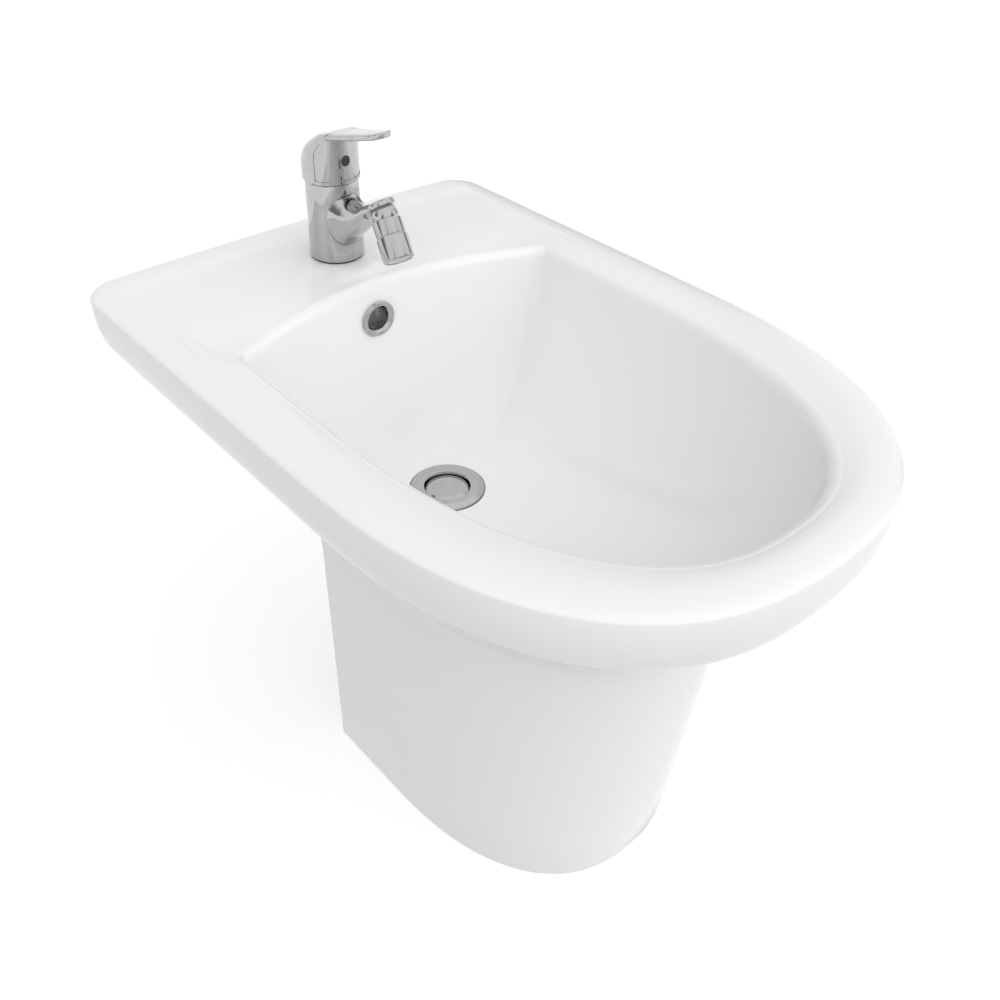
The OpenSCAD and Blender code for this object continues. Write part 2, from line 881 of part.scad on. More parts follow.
module plug_seal() {
    color("dimgray")
        at_waste(plug_edge_z - plug_t - plug_seal_r)
            rotate_extrude()
                translate([plug_r - 2.55 + plug_seal_r, 0])
                    circle(r = plug_seal_r, $fn = fn_small);
}

// ---------- tap body ----------

// Where the cartridge's ports lie, seen from the tap's axis
inlet = [4.6, -3.2];
outlet = [0, 3.5];
inlet_r = 2.1;
outlet_r = 2.3;
stud_in = 6;

module at_tap(z) {
    translate([0, tap_y, tap_z + z])
        children();
}

// The swivel's centre, seen from the tap's own axis and base
ball_at = [0, -ball_reach, ball_h];

// The flat under the spout's end, above the swivel's centre, and the socket in it
hub_face = 6.5;
socket_r = housing_r - 1.7;

// The spout's end, along its own axis
module at_hub() {
    at_tap(0)
        translate(ball_at)
            rotate([-hub_tilt, 0, 0])
                children();
}

// The nozzle, along its own axis as it was left
module at_nozzle() {
    at_tap(0)
        translate(ball_at)
            rotate([0, 0, -nozzle_turn])
                rotate([-nozzle_tilt, 0, 0])
                    children();
}

// A rounded section across the spout, given its place along y, its height span and its half width
function arm_section(y, low, high, half) =
    let (mid = (low + high) / 2, tall = (high - low) / 2)
    [for (i = [0 : 19]) let (a = -18 * i, c = cos(a), s = sin(a))
        [half * sign(c) * pow(abs(c), 0.75), y, mid + tall * sign(s) * pow(abs(s), 0.75)]];

module spout_arm() {
    hub_y = ball_reach - (hub_h - 4) * sin(hub_tilt);
    loft([
        arm_section(-6, 14, 56, 14),
        arm_section(-14, 13, 54, 14.5),
        arm_section(-24, 18, 51, 14),
        arm_section(-34, 26, 52, 13),
        arm_section(-44, 35, 56, 12),
        arm_section(-53, 44, 61, 11.4),
        arm_section(-hub_y, 53, 65, 10)
    ]);
}

module tap_body() {
    chamber_h = tap_h - chamber_z;
    color("silver")
        difference() {
            union() {
                at_tap(0)
                    cylinder(r1 = tap_base_r, r2 = tap_top_r, h = tap_h);
                at_tap(-spigot_l)
                    cylinder(r = spigot_r, h = spigot_l + 1);
                at_tap(0)
                    spout_arm();
                at_hub() {
                    translate([0, 0, hub_face])
                        cylinder(r = hub_r, h = hub_h - hub_face - 3.5);
                    translate([0, 0, hub_h - 3.5 - eps])
                        cylinder(r1 = hub_r, r2 = hub_r - 4, h = 3.5);
                }
            }
            at_tap(chamber_z)
                cylinder(r = cart_r + run_gap, h = chamber_h + 1);
            at_tap(tap_h - nut_h)
                cylinder(r = nut_r, h = nut_h + 1);
            for (side = [-1, 1])
                at_tap(-spigot_l - 1)
                    translate([side * port_x, -port_y, 0])
                        cylinder(r = port_r, h = port_l + 1, $fn = fn_small);
            at_tap(-spigot_l - 1)
                translate([0, stud_y, 0])
                    cylinder(r = stud_r + run_gap, h = spigot_l + 1 + stud_in, $fn = fn_small);
            at_tap(0)
                waterways();
            at_hub()
                translate([0, 0, hub_face - 1])
                    cylinder(r = socket_r + run_gap, h = 6);
            at_hub()
                translate([0, 0, hub_face - over + eps])
                    cylinder(r = housing_r + 6, h = over);
            base_groove();
        }
}

// A round channel between two points
module channel(from, to, r) {
    run = to - from;
    translate(from)
        rotate([0, acos(run[2] / norm(run)), atan2(run[1], run[0])])
            cylinder(r = r, h = norm(run), $fn = fn_small);
}

// The ways for the water: two up to the cartridge, one down from it and out to the spout's end
module waterways() {
    low = channel_r + 9;
    elbow = [0, -tap_base_r + 3, low + 3];
    for (side = [-1, 1])
        channel([side * port_x, -port_y, port_l - spigot_l - 1],
            [side * inlet[0], inlet[1], chamber_z + 1], inlet_r);
    channel([outlet[0], outlet[1], low], [outlet[0], outlet[1], chamber_z + 1], outlet_r);
    channel([outlet[0], outlet[1], low], elbow, outlet_r);
    channel(elbow, ball_at + 11 * [0, sin(hub_tilt), cos(hub_tilt)], channel_r);
}

// The groove under the tap that takes the seal
module base_groove() {
    at_tap(-eps)
        ring(tap_base_r - seal_rim, spigot_r + 1, 1 + eps);
}

module base_seal() {
    color("dimgray")
        at_tap(-base_seal_t)
            ring(tap_base_r - seal_rim - run_gap, spigot_r + 1 + run_gap, base_seal_t + 1);
}

module fixing_stud() {
    color("silver")
        at_tap(-stud_l)
            translate([0, stud_y, 0])
                cylinder(r = stud_r, h = stud_l + stud_in, $fn = fn_small);
}

// A horseshoe that slips round the hoses
module horseshoe(z, h) {
    at_tap(z)
        difference() {
            cylinder(r = shoe_r, h = h);
            translate([0, -port_y, -1])
                cylinder(r = port_x + port_r + 1, h = h + 2);
            translate([-port_x - port_r - 1, -port_y - shoe_r, -1])
                cube([2 * (port_x + port_r + 1), shoe_r, h + 2]);
            translate([0, stud_y, -1])
                cylinder(r = stud_r + part_gap, h = h + 2, $fn = fn_small);
        }
}

shoe_z = ceiling_z - tap_z;

module horseshoe_seal() {
    color("dimgray")
        horseshoe(shoe_z - shoe_seal_t, shoe_seal_t);
}

module horseshoe_washer() {
    color("silver")
        horseshoe(shoe_z - shoe_seal_t - shoe_t, shoe_t);
}

module fixing_nut() {
    color("goldenrod")
        at_tap(shoe_z - shoe_seal_t - shoe_t - stud_nut_t)
            translate([0, stud_y, 0])
                hex_ring(stud_nut_af, stud_r + run_gap, stud_nut_t);
}

// ---------- cartridge ----------

case_z = chamber_z;
seat_t = 2;
disc_t = 3.5;
disc_z = case_z + seat_t;
slide_z = disc_z + disc_t;
carrier_z = slide_z + disc_t;
turret_r = 11;
turret_z = tilt_h - 9;
case_top = tap_h - nut_h;
neck_top = tap_h + 1;
toe_r = 3;
pin_r = 1.5;
disc_r = 15;
slide_r = 9;
seal_w = 1.5;
seal_h = 1.2;

module disc_ports(h) {
    for (side = [-1, 1])
        translate([side * inlet[0], inlet[1], -1])
            cylinder(r = inlet_r, h = h + 2, $fn = fn_small);
    translate([outlet[0], outlet[1], -1])
        cylinder(r = outlet_r, h = h + 2, $fn = fn_small);
}

// The plastic case: a floor with three ports, a wall and a neck for the turret
module cartridge_case() {
    color("whitesmoke")
        difference() {
            union() {
                at_tap(case_z)
                    cylinder(r = cart_r, h = case_top - case_z);
                at_tap(case_top - eps)
                    cylinder(r = turret_r + 2, h = neck_top - case_top);
            }
            at_tap(disc_z)
                cylinder(r = disc_r + run_gap, h = turret_z - 1 - disc_z);
            at_tap(turret_z - 1 - eps)
                cylinder(r = turret_r + run_gap, h = 2 * over);
            at_tap(case_z)
                disc_ports(seat_t);
            at_tap(case_z - eps)
                seal_pockets();
        }
}

module seal_pockets() {
    for (side = [-1, 1])
        translate([side * inlet[0], inlet[1], 0])
            cylinder(r = inlet_r + seal_w, h = seal_h, $fn = fn_small);
    translate([outlet[0], outlet[1], 0])
        cylinder(r = outlet_r + seal_w, h = seal_h, $fn = fn_small);
}

module cartridge_seals() {
    color("dimgray")
        at_tap(case_z) {
            for (side = [-1, 1])
                translate([side * inlet[0], inlet[1], 0])
                    ring(inlet_r + seal_w - run_gap, inlet_r + 0.1, seal_h - run_gap, $fn = fn_small);
            translate([outlet[0], outlet[1], 0])
                ring(outlet_r + seal_w - run_gap, outlet_r + 0.1, seal_h - run_gap, $fn = fn_small);
        }
}

module fixed_disc() {
    color("ivory")
        at_tap(disc_z)
            difference() {
                cylinder(r = disc_r, h = disc_t);
                disc_ports(disc_t);
            }
}

module moving_disc() {
    color("ivory")
        at_tap(slide_z + run_gap)
            difference() {
                cylinder(r = slide_r, h = disc_t);
                translate([0, slide_r - 5.2, -eps])
                    cylinder(r = 4.5, h = disc_t / 2, $fn = fn_small);
            }
}

// The carrier grips the moving disc and takes the spindle's toe in its socket
module disc_carrier() {
    toe_z = tilt_h - toe_l;
    base = carrier_z + run_gap + eps;
    color("black")
        at_tap(base)
            difference() {
                cylinder(r = slide_r, h = toe_z + 2 - base);
                translate([-stem_hw - part_gap, -toe_r - part_gap, 3])
                    cube([2 * (stem_hw + part_gap), 2 * (toe_r + part_gap), 2 * over]);
            }
}

module turret() {
    h = neck_top + 1 - turret_z;
    color("black")
        at_tap(turret_z)
            difference() {
                cylinder(r = turret_r, h = h);
                translate([-stem_hw - run_gap, -turret_r + 2, -1])
                    cube([2 * (stem_hw + run_gap), 2 * turret_r - 4, h + 2]);
                translate([-turret_r - 1, 0, tilt_h - turret_z])
                    rotate([0, 90, 0])
                        cylinder(r = pin_r + run_gap, h = 2 * turret_r + 2, $fn = fn_small);
            }
}

module pivot_pin() {
    color("silver")
        at_tap(tilt_h)
            translate([-turret_r + 1, 0, 0])
                rotate([0, 90, 0])
                    cylinder(r = pin_r, h = 2 * turret_r - 2, $fn = fn_small);
}

stem_top = tap_h + cap_gap + 23;

module spindle() {
    toe_z = tilt_h - toe_l;
    color("goldenrod")
        difference() {
            union() {
                at_tap(toe_z + toe_r)
                    translate([-stem_hw, -stem_hw, 0])
                        cube([2 * stem_hw, 2 * stem_hw, stem_top - toe_z - toe_r]);
                at_tap(toe_z)
                    translate([-stem_hw, -toe_r + 0.5, 0])
                        cube([2 * stem_hw, 2 * toe_r - 1, toe_r + 1]);
                at_tap(toe_z)
                    translate([-stem_hw, 0, 0])
                        rotate([0, 90, 0])
                            cylinder(r = toe_r, h = 2 * stem_hw, $fn = fn_small);
            }
            at_tap(tilt_h)
                translate([-stem_hw - 1, 0, 0])
                    rotate([0, 90, 0])
                        cylinder(r = pin_r + run_gap, h = 2 * stem_hw + 2, $fn = fn_small);
        }
}

module cartridge_nut() {
    flats = 4;
    color("goldenrod")
        difference() {
            at_tap(case_top)
                ring(nut_r - run_gap, turret_r + 2 + run_gap, nut_h);
            for (a = [0 : 90 : 270])
                at_tap(tap_h - flats + 1)
                    rotate([0, 0, a])
                        translate([nut_r - 3, -2, 0])
                            cube([4, 4, flats]);
        }
}

// ---------- lever ----------

cap_z = tap_h + cap_gap;
cap_roof = 14;
index_z = cap_z + 18;
lever_bend = 0.0006;
root_sunk = 1.2;
root_y = 12;
hood_fall = 10;

// Height of the lever's top at y, measured forward from the tap's axis
function lever_top(y) = cap_z + cap_h + lever_slope * y + lever_bend * max(y, 0) * y;

// Height of the cap's top: a dome at the back that flattens into the lever's root at the front
function cap_top(x, y) =
    let (
        rho = min(norm([x, y]) / cap_r, 1),
        dome = cap_z + wall_h + dome_rise * sqrt(1 - rho * rho),
        root = lever_top(y) - hood_fall * ease((abs(x) - root_hw + 2) / (cap_r - root_hw + 2))
    )
    mix(dome, root, ease((y + root_y) / (2 * root_y)));

module cap_block() {
    steps = 8;
    reach = cap_r + 2;
    intersection() {
        at_tap(0)
            loft([for (k = [-steps : steps]) let (y = reach * sin(90 * k / steps)) concat(
                [[reach, -y, cap_z - 2], [-reach, -y, cap_z - 2]],
                [for (i = [-steps : steps]) let (x = reach * sin(90 * i / steps)) [x, -y, cap_top(x, y)]]
            )]);
        at_tap(cap_z)
            cylinder(r = cap_r, h = 2 * cap_h);
    }
}

// The lever from inside the cap to its rounded tip
module lever_arm() {
    steps = 14;
    tip_y = lever_reach - tip_r;
    straight = [for (k = [0 : steps]) let (y = mix(root_y, tip_y, k / steps)) [y, mix(root_hw, tip_r, ease(y / tip_y))]];
    round = [for (a = [15 : 15 : 75]) [tip_y + tip_r * sin(a), tip_r * cos(a)]];
    at_tap(0)
        loft([for (p = concat(straight, round)) let (
            t = mix(lever_t, tip_t, p[0] / lever_reach) / 2,
            sunk = root_sunk * (1 - ease((p[0] - root_y) / (cap_r - root_y))),
            z = lever_top(p[0]) - t - sunk
        ) [
            for (i = [0 : 15]) let (a = 22.5 * i, c = cos(a), s = sin(a))
                [p[1] * sign(c) * pow(abs(c), 0.35), -p[0], z - t * sign(s) * pow(abs(s), 0.6)]
        ]]);
}

// The recess round the front of the cap, seen from the side
module recess_profile() {
    low = cap_z + 3;
    polygon([
        [9, low], [2 * cap_r, low], [2 * cap_r, lever_top(cap_r) - lever_t + 1],
        [cap_r, lever_top(cap_r) - lever_t], [17.5, index_z + 16.3], [14.8, index_z + 14.4],
        [11.5, index_z + 10.5], [9.6, index_z + 6], [9, index_z + 2]
    ]);
}

module lever_handle() {
    roof_z = cap_z + cap_roof;
    color("silver")
        difference() {
            union() {
                cap_block();
                lever_arm();
            }
            intersection() {
                at_tap(0)
                    rotate([90, 0, -90])
                        translate([0, 0, -over - 10])
                            linear_extrude(2 * over + 20)
                                recess_profile();
                at_tap(cap_z)
                    ring(2 * cap_r, cap_r - recess_d, 2 * cap_h);
            }
            at_tap(cap_z - over)
                cylinder(r = cap_bore_r, h = over + cap_roof);
            at_tap(roof_z - 1)
                translate([-stem_hw - run_gap, -stem_hw - run_gap, 0])
                    cube([2 * (stem_hw + run_gap), 2 * (stem_hw + run_gap), stem_top - roof_z + 1 + part_gap]);
            at_tap(index_z)
                rotate([90, 0, 0])
                    cylinder(r = 2.5 + run_gap, h = 2 * over, $fn = fn_small);
            at_tap(index_z)
                translate([0, -cap_r + 3.6, 0])
                    rotate([90, 0, 0])
                        cylinder(r = index_r + run_gap, h = over, $fn = fn_small);
        }
}

module grub_screw() {
    color("dimgray")
        at_tap(index_z)
            translate([0, -stem_hw, 0])
                rotate([90, 0, 0])
                    difference() {
                        cylinder(r = 2.5, h = 9, $fn = fn_small);
                        translate([0, 0, 6])
                            cylinder(r = 1.45, h = 4, $fn = 6);
                    }
}

module index_plug() {
    color("firebrick")
        at_tap(index_z)
            translate([0, -cap_r + 3.6, 0])
                rotate([90, 0, 0]) {
                    cylinder(r = index_r, h = 2.6, $fn = fn_small);
                    translate([0, 0, 2.6 - eps])
                        cylinder(r1 = index_r, r2 = index_r - 0.8, h = 0.8, $fn = fn_small);
                }
}

// ---------- swivel nozzle ----------

seat_low = 1.5;
seat_top = -16;
cup_t = 1.3;

// The cup above the ball, which the ball turns in
module ball_seat() {
    color("whitesmoke")
        at_hub()
            difference() {
                sphere(r = ball_r + cup_t - run_gap);
                sphere(r = ball_r + run_gap);
                translate([0, 0, seat_low - over])
                    cylinder(r = over, h = over);
                cylinder(r = 3.4, h = over, $fn = fn_small);
            }
}

// The rounded housing that screws into the spout and keeps the ball in
module swivel_housing() {
    rim = 3.2;
    color("silver")
        at_hub()
            difference() {
                union() {
                    intersection() {
                        sphere(r = housing_r);
                        translate([0, 0, -rim])
                            cylinder(r = housing_r + 1, h = rim + hub_face);
                    }
                    translate([0, 0, hub_face - 1])
                        cylinder(r = socket_r, h = 5.5);
                }
                sphere(r = ball_r + run_gap);
                intersection() {
                    sphere(r = ball_r + cup_t);
                    translate([0, 0, seat_low - 2])
                        cylinder(r = over, h = over);
                }
                translate([0, 0, hub_face - 1])
                    cylinder(r = 5, h = over);
            }
}

module swivel_ball() {
    color("silver")
        at_nozzle()
            difference() {
                union() {
                    sphere(r = ball_r);
                    translate([0, 0, -16])
                        cylinder(r = 4.2, h = 14);
                }
                translate([0, 0, -over])
                    cylinder(r = 2.4, h = 2 * over, $fn = fn_small);
            }
}

module nozzle_shell() {
    collar_top = -4;
    step_z = -15.5;
    floor_z = -12;
    color("silver")
        at_nozzle()
            difference() {
                union() {
                    translate([0, 0, step_z])
                        cylinder(r = collar_r, h = collar_top - step_z);
                    translate([0, 0, step_z - 1.2])
                        cylinder(r1 = nozzle_r, r2 = collar_r, h = 1.2 + eps);
                    translate([0, 0, -nozzle_l + 1.5])
                        cylinder(r = nozzle_r, h = nozzle_l + step_z - 2.7 + eps);
                    translate([0, 0, -nozzle_l])
                        cylinder(r1 = nozzle_r - 1, r2 = nozzle_r, h = 1.5 + eps);
                }
                sphere(r = housing_r + part_gap);
                translate([0, 0, floor_z - over])
                    cylinder(r = 4.2 + run_gap, h = 2 * over);
                translate([0, 0, -nozzle_l - 1])
                    cylinder(r = aerator_r + run_gap, h = nozzle_l + seat_top + 1);
            }
}

module aerator_seal() {
    color("dimgray")
        at_nozzle()
            translate([0, 0, seat_top - 1.5])
                ring(aerator_r - 0.2, 5.5, 1.5);
}

// A plastic insert with a ring of jet holes
module aerator_insert() {
    top = seat_top - 1.5;
    color("whitesmoke")
        at_nozzle()
            difference() {
                translate([0, 0, -nozzle_l + 0.8])
                    cylinder(r = aerator_r, h = nozzle_l + top - 0.8);
                translate([0, 0, top - 5])
                    cylinder(r = aerator_r - 2, h = 6);
                translate([0, 0, -nozzle_l])
                    cylinder(r = aerator_r - 1.5, h = 3);
                for (a = [0 : 45 : 315])
                    rotate([0, 0, a])
                        translate([4.8, 0, -nozzle_l])
                            cylinder(r = 1.2, h = nozzle_l, $fn = 16);
            }
}

china_rim();
china_bowl();
china_pedestal();
overflow_ring();
overflow_sleeve();
waste_body();
flange_seal();
boss_seal();
slip_washer();
waste_nut();
tailpiece();
push_sleeve();
sleeve_cap();
latch_ring();
plug_spring();
plug_spindle();
plug_cap();
plug_seal();
tap_body();
base_seal();
fixing_stud();
horseshoe_seal();
horseshoe_washer();
fixing_nut();
cartridge_case();
cartridge_seals();
fixed_disc();
moving_disc();
disc_carrier();
turret();
pivot_pin();
spindle();
cartridge_nut();
lever_handle();
grub_screw();
index_plug();
ball_seat();
swivel_housing();
swivel_ball();
nozzle_shell();
aerator_insert();
aerator_seal();
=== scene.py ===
# %% [markdown]
# # Floor standing bidet
#
# The CAD model gives every piece its size and place. This notebook dresses it: the china and the
# chrome pieces that show are built again as smooth, finely divided meshes on the same sizes, the
# hidden pieces keep their CAD shape, and every piece gets a procedural material. Then come the
# floor, the light and a camera at the photograph's angle.

# %% Setup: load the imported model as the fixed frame
import json
import math

import bmesh
import bpy
import numpy as np
from mathutils import Matrix, Vector


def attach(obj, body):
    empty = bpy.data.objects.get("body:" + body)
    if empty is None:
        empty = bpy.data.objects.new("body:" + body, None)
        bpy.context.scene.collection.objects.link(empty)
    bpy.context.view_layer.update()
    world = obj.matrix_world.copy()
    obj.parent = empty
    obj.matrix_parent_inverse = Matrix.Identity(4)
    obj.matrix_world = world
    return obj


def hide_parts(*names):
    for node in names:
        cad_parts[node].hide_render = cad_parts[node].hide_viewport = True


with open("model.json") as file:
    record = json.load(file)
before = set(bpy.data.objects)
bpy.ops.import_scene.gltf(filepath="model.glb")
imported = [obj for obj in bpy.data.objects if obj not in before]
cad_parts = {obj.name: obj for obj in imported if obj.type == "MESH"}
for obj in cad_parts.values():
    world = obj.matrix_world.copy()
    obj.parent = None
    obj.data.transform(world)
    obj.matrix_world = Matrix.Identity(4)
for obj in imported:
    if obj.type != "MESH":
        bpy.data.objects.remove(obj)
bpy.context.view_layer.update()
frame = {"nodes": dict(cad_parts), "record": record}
scene = bpy.context.scene

# %% [markdown]
# ## Sizes
#
# All in millimetres, with the origin on the floor under the centre of the outline. `-Y` is the
# front. They repeat the CAD's own values, because a piece that stands for a node fills its place.
# Only the back corners, the rise of the underside and the deck's turns follow the photograph.

# %% Sizes shared with the CAD
BODY_W, BODY_L, RIM = 376.0, 560.0, 400.0
WALL = BODY_L / 2
POWER = 2.4
CORNER_R, BACK_BOW, FLANK_Y = 30.0, 3300.0, WALL - 312
CREST_IN, CREST_DROP = 19.0, 5.0
BAND_TOP = RIM - CREST_DROP
TUCK_TOP, TUCK_H, TUCK_IN = 385.0, 39.0, 17.0
CHINA_T = 11.0

FOOT_HW, FOOT_R, FOOT_EDGE = 115.0, 8.0, 1.5
FOOT_BACK, FOOT_FLANK, FOOT_FRONT = WALL - 194, WALL - 281, -WALL + 105
NECK_LEAN, NECK_BACK_Y, NECK_SPAN = 26.0, -32.0, 248.0
NECK_SIDE_Z, NECK_FRONT_Z = 250.0, 266.0
UNDERSIDE_RISE = 22.0

OPEN_HW, OPEN_Y, OPEN_FRONT, OPEN_R, OPEN_BOW, EDGE_R = 141.0, 152.0, -241.0, 14.0, 262.0, 8.0
LAND_DROP, LIP_DROP, DECK_DROP = 2.0, 1.3, 7.0
DECK_START, DECK_RUN = 66.0, 62.0
BOWL_FLOOR, BOWL_POWER, DISH_R = 240.0, 2.3, 34.0
CEILING = 385.0
WASTE_Y, TAP_Y = 64.0, 203.0
PAD_Z, TAP_Z = 398.5, 400.0
PAD_REACH, PAD_DEPTH, PAD_FLARE, PAD_BACK, PAD_SIDE = 40.0, 90.0, 52.0, 245.0, 78.0
OVER_Z = 361.0
TAP_HOLE_R, WASTE_HOLE_R, FLANGE_SEAT_R, BOSS_R = 17.5, 22.5, 32.0, 36.0
OVER_HOLE_R, OVER_SEAT_R, DUCT_HW, DUCT_T, DUCT_FLOOR = 12.5, 16.0, 10.5, 6.0, 216.0
LUG_HOLE_R, LUG_X, LUG_Y, LUG_H = 4.5, 86.0, 50.0, 16.0
BALL = np.array([0.0, TAP_Y - 69.5, TAP_Z + 53.5])
HUB_TILT, NOZZLE_TILT, NOZZLE_TURN = 35.0, 38.0, 11.0

# %% Light levels; each band is a direction and a half width in degrees, and how bright it stays
KEY, FLOOR_GREY, FLOOR_LIFT = 1.0, 0.45, 0.66
BRIGHT_SIDE, DIM_SIDE, SIDE = 1.42, 0.06, (-0.05, -0.92, 0.38)
BANDS = [(-62, 14, 0.12), (-150, 10, 0.2), (150, 16, 0.25), (40, 12, 0.2), (-5, 8, 0.3)]

# %% [markdown]
# ## Mesh helpers
#
# A piece is a closed mesh made from rings of points (`loft`), or from a profile turned about an
# axis (`turned`). Pieces are joined and cut with Blender's manifold boolean, and `corners`
# rounds the sharp corners of a profile so that every edge catches the light.


# %% Meshes, booleans and rounded profiles
def make(name, verts, faces):
    mesh = bpy.data.meshes.new(name)
    mesh.from_pydata((np.asarray(verts) * 0.001).tolist(), [], faces)
    b = bmesh.new()
    b.from_mesh(mesh)
    bmesh.ops.remove_doubles(b, verts=b.verts, dist=1e-6)
    bmesh.ops.triangulate(b, faces=b.faces)
    bmesh.ops.recalc_face_normals(b, faces=b.faces)
    b.to_mesh(mesh)
    b.free()
    obj = bpy.data.objects.new(name, mesh)
    scene.collection.objects.link(obj)
    return obj


def loft(name, rings, closed=False):
    """A solid through rings of equal length; closed joins the last ring to the first."""
    rings = [np.asarray(r, float) for r in rings]
    n, count = len(rings[0]), len(rings)
    faces = []
    for r in range(count if closed else count - 1):
        s = (r + 1) % count
        for i in range(n):
            j = (i + 1) % n
            faces.append((r * n + i, r * n + j, s * n + j, s * n + i))
    if not closed:
        faces.append(tuple(range(n)))
        faces.append(tuple((count - 1) * n + i for i in range(n)))
    return make(name, np.vstack(rings), faces)


def turned(name, profile, at=np.eye(4), steps=96, ring=False):
    """A profile of (radius, height) points turned about the local Z axis."""
    angle = np.linspace(0, 2 * math.pi, steps, endpoint=False)
    rings = []
    for r, z in profile:
        points = np.stack([r * np.cos(angle), r * np.sin(angle), np.full(steps, float(z))], 1)
        rings.append(points @ at[:3, :3].T + at[:3, 3])
    return loft(name, rings, closed=ring)


def corners(points, radius, steps=4):
    """Rounds a profile's corners, all but its ends; radius is one number or one for each point."""
    points = [np.asarray(p, float) for p in points]
    count = len(points)
    radii = [radius] * count if np.isscalar(radius) else list(radius)
    out = []
    for i, p in enumerate(points):
        if radii[i] <= 0 or i in (0, count - 1):
            out.append(p)
            continue
        a, b = points[i - 1] - p, points[i + 1] - p
        la, lb = np.linalg.norm(a), np.linalg.norm(b)
        reach = min(radii[i], la * 0.48, lb * 0.48)
        start, end = p + a / la * reach, p + b / lb * reach
        for k in range(steps + 1):
            t = k / steps
            out.append((1 - t) ** 2 * start + 2 * t * (1 - t) * p + t * t * end)
    return out


def boolean(base, tool, how):
    """base joined with or cut by tool, which is used up."""
    mod = base.modifiers.new("cut", "BOOLEAN")
    mod.operation, mod.solver, mod.object = how, "MANIFOLD", tool
    if hasattr(mod, "material_mode"):
        mod.material_mode = "TRANSFER"
    made = bpy.data.meshes.new_from_object(base.evaluated_get(bpy.context.evaluated_depsgraph_get()))
    base.modifiers.clear()
    old = base.data
    base.data = made
    bpy.data.meshes.remove(old)
    bpy.data.objects.remove(tool)
    return base


def join(base, *tools):
    for tool in tools:
        boolean(base, tool, "UNION")
    return base


def cut(base, *tools):
    for tool in tools:
        boolean(base, tool, "DIFFERENCE")
    return base


def smooth(obj, degrees=32):
    """Shades smooth, with the edges sharper than this left sharp."""
    b = bmesh.new()
    b.from_mesh(obj.data)
    for f in b.faces:
        f.smooth = True
    for e in b.edges:
        e.smooth = len(e.link_faces) == 2 and e.calc_face_angle(0) < math.radians(degrees)
    b.to_mesh(obj.data)
    b.free()
    return obj


def turn(x=0.0, z=0.0, to=(0, 0, 0)):
    """A matrix that turns about X, then Z, and moves."""
    m = np.array(Matrix.Rotation(math.radians(z), 4, "Z") @ Matrix.Rotation(math.radians(x), 4, "X"))
    m[:3, 3] = to
    return m


def cylinder(r, low, high, at=np.eye(4), steps=64):
    return turned("tool", [(r, low), (r, high)], at, steps)


def block(low, high):
    (x0, y0, z0), (x1, y1, z1) = low, high
    base = np.array([(x0, y0), (x0, y1), (x1, y1), (x1, y0)])
    return loft("tool", [np.column_stack([base, np.full(4, z)]) for z in (z0, z1)])


def ease(t):
    t = np.clip(t, 0, 1)
    return t * t * (3 - 2 * t)


def swell(t):
    """Like ease, with its ends softer still."""
    t = np.clip(t, 0, 1)
    return t**3 * (10 - 15 * t + 6 * t * t)


def mix(a, b, t):
    return a + (b - a) * t


# %% [markdown]
# ## China
#
# The outline, the foot and the bowl's opening are one kind of shape: a bowed back, rounded
# corners, straight flanks and a superellipse front. `d_ring` gives it as a closed ring, and the
# skin runs through such rings: up the pedestal, out along the underside, round the band, over the
# crest, across the deck and a short way into the bowl. The bowl's full depth is cut out later,
# because its wall stands out behind the underside at the back.


# %% Outlines
BOW_STEPS, CORNER_STEPS, FLANK_STEPS, FRONT_STEPS = 10, 12, 20, 110


def d_ring(w, back, flank, front, rc, rb):
    """Half width, back and front, where the flank ends, corner radius and the back's bow radius."""
    cx, reach = w - rc, rb - rc
    cy = back - rb + math.sqrt(reach * reach - cx * cx)
    lean = math.asin(cx / reach)
    bow = np.linspace(0, lean, BOW_STEPS, endpoint=False)
    bend = np.linspace(lean, math.pi / 2, CORNER_STEPS, endpoint=False)
    side = np.linspace(cy, flank, FLANK_STEPS, endpoint=False)
    nose = np.linspace(0, math.pi / 2, FRONT_STEPS + 1)
    x = np.concatenate([rb * np.sin(bow), cx + rc * np.sin(bend), np.full(FLANK_STEPS, w),
                        w * np.abs(np.cos(nose)) ** (2 / POWER)])
    y = np.concatenate([back - rb + rb * np.cos(bow), cy + rc * np.cos(bend), side,
                        flank - (flank - front) * np.sin(nose) ** (2 / POWER)])
    x[-1] = 0.0
    half = np.column_stack([x, y])
    return np.vstack([half, half[-2:0:-1] * [-1, 1]])


def outline(d):
    return d_ring(BODY_W / 2 - d, WALL - d, FLANK_Y, -WALL + d, max(CORNER_R - d, 4), BACK_BOW - d)


def opening(d):
    return d_ring(OPEN_HW + d, OPEN_Y + d, 0.0, OPEN_FRONT - d, OPEN_R + d, OPEN_BOW + d)


def foot(d, lean):
    return d_ring(FOOT_HW - d, FOOT_BACK - d, FOOT_FLANK, FOOT_FRONT - lean + d, FOOT_R, BACK_BOW)


def level(ring, z):
    return np.column_stack([ring, np.full(len(ring), float(z))])


def deck_share(y):
    """0 along the flanks and the front, 1 on the deck behind the bowl."""
    return swell((y - OPEN_Y + DECK_START) / DECK_RUN)


def edge_z(y):
    return RIM - mix(LAND_DROP, DECK_DROP, deck_share(y))


def neck_ring(d):
    ring = foot(d, NECK_LEAN)
    forward = ease((NECK_BACK_Y - ring[:, 1]) / NECK_SPAN * 1.4)
    return np.column_stack([ring, mix(NECK_SIDE_Z, NECK_FRONT_Z, forward)])


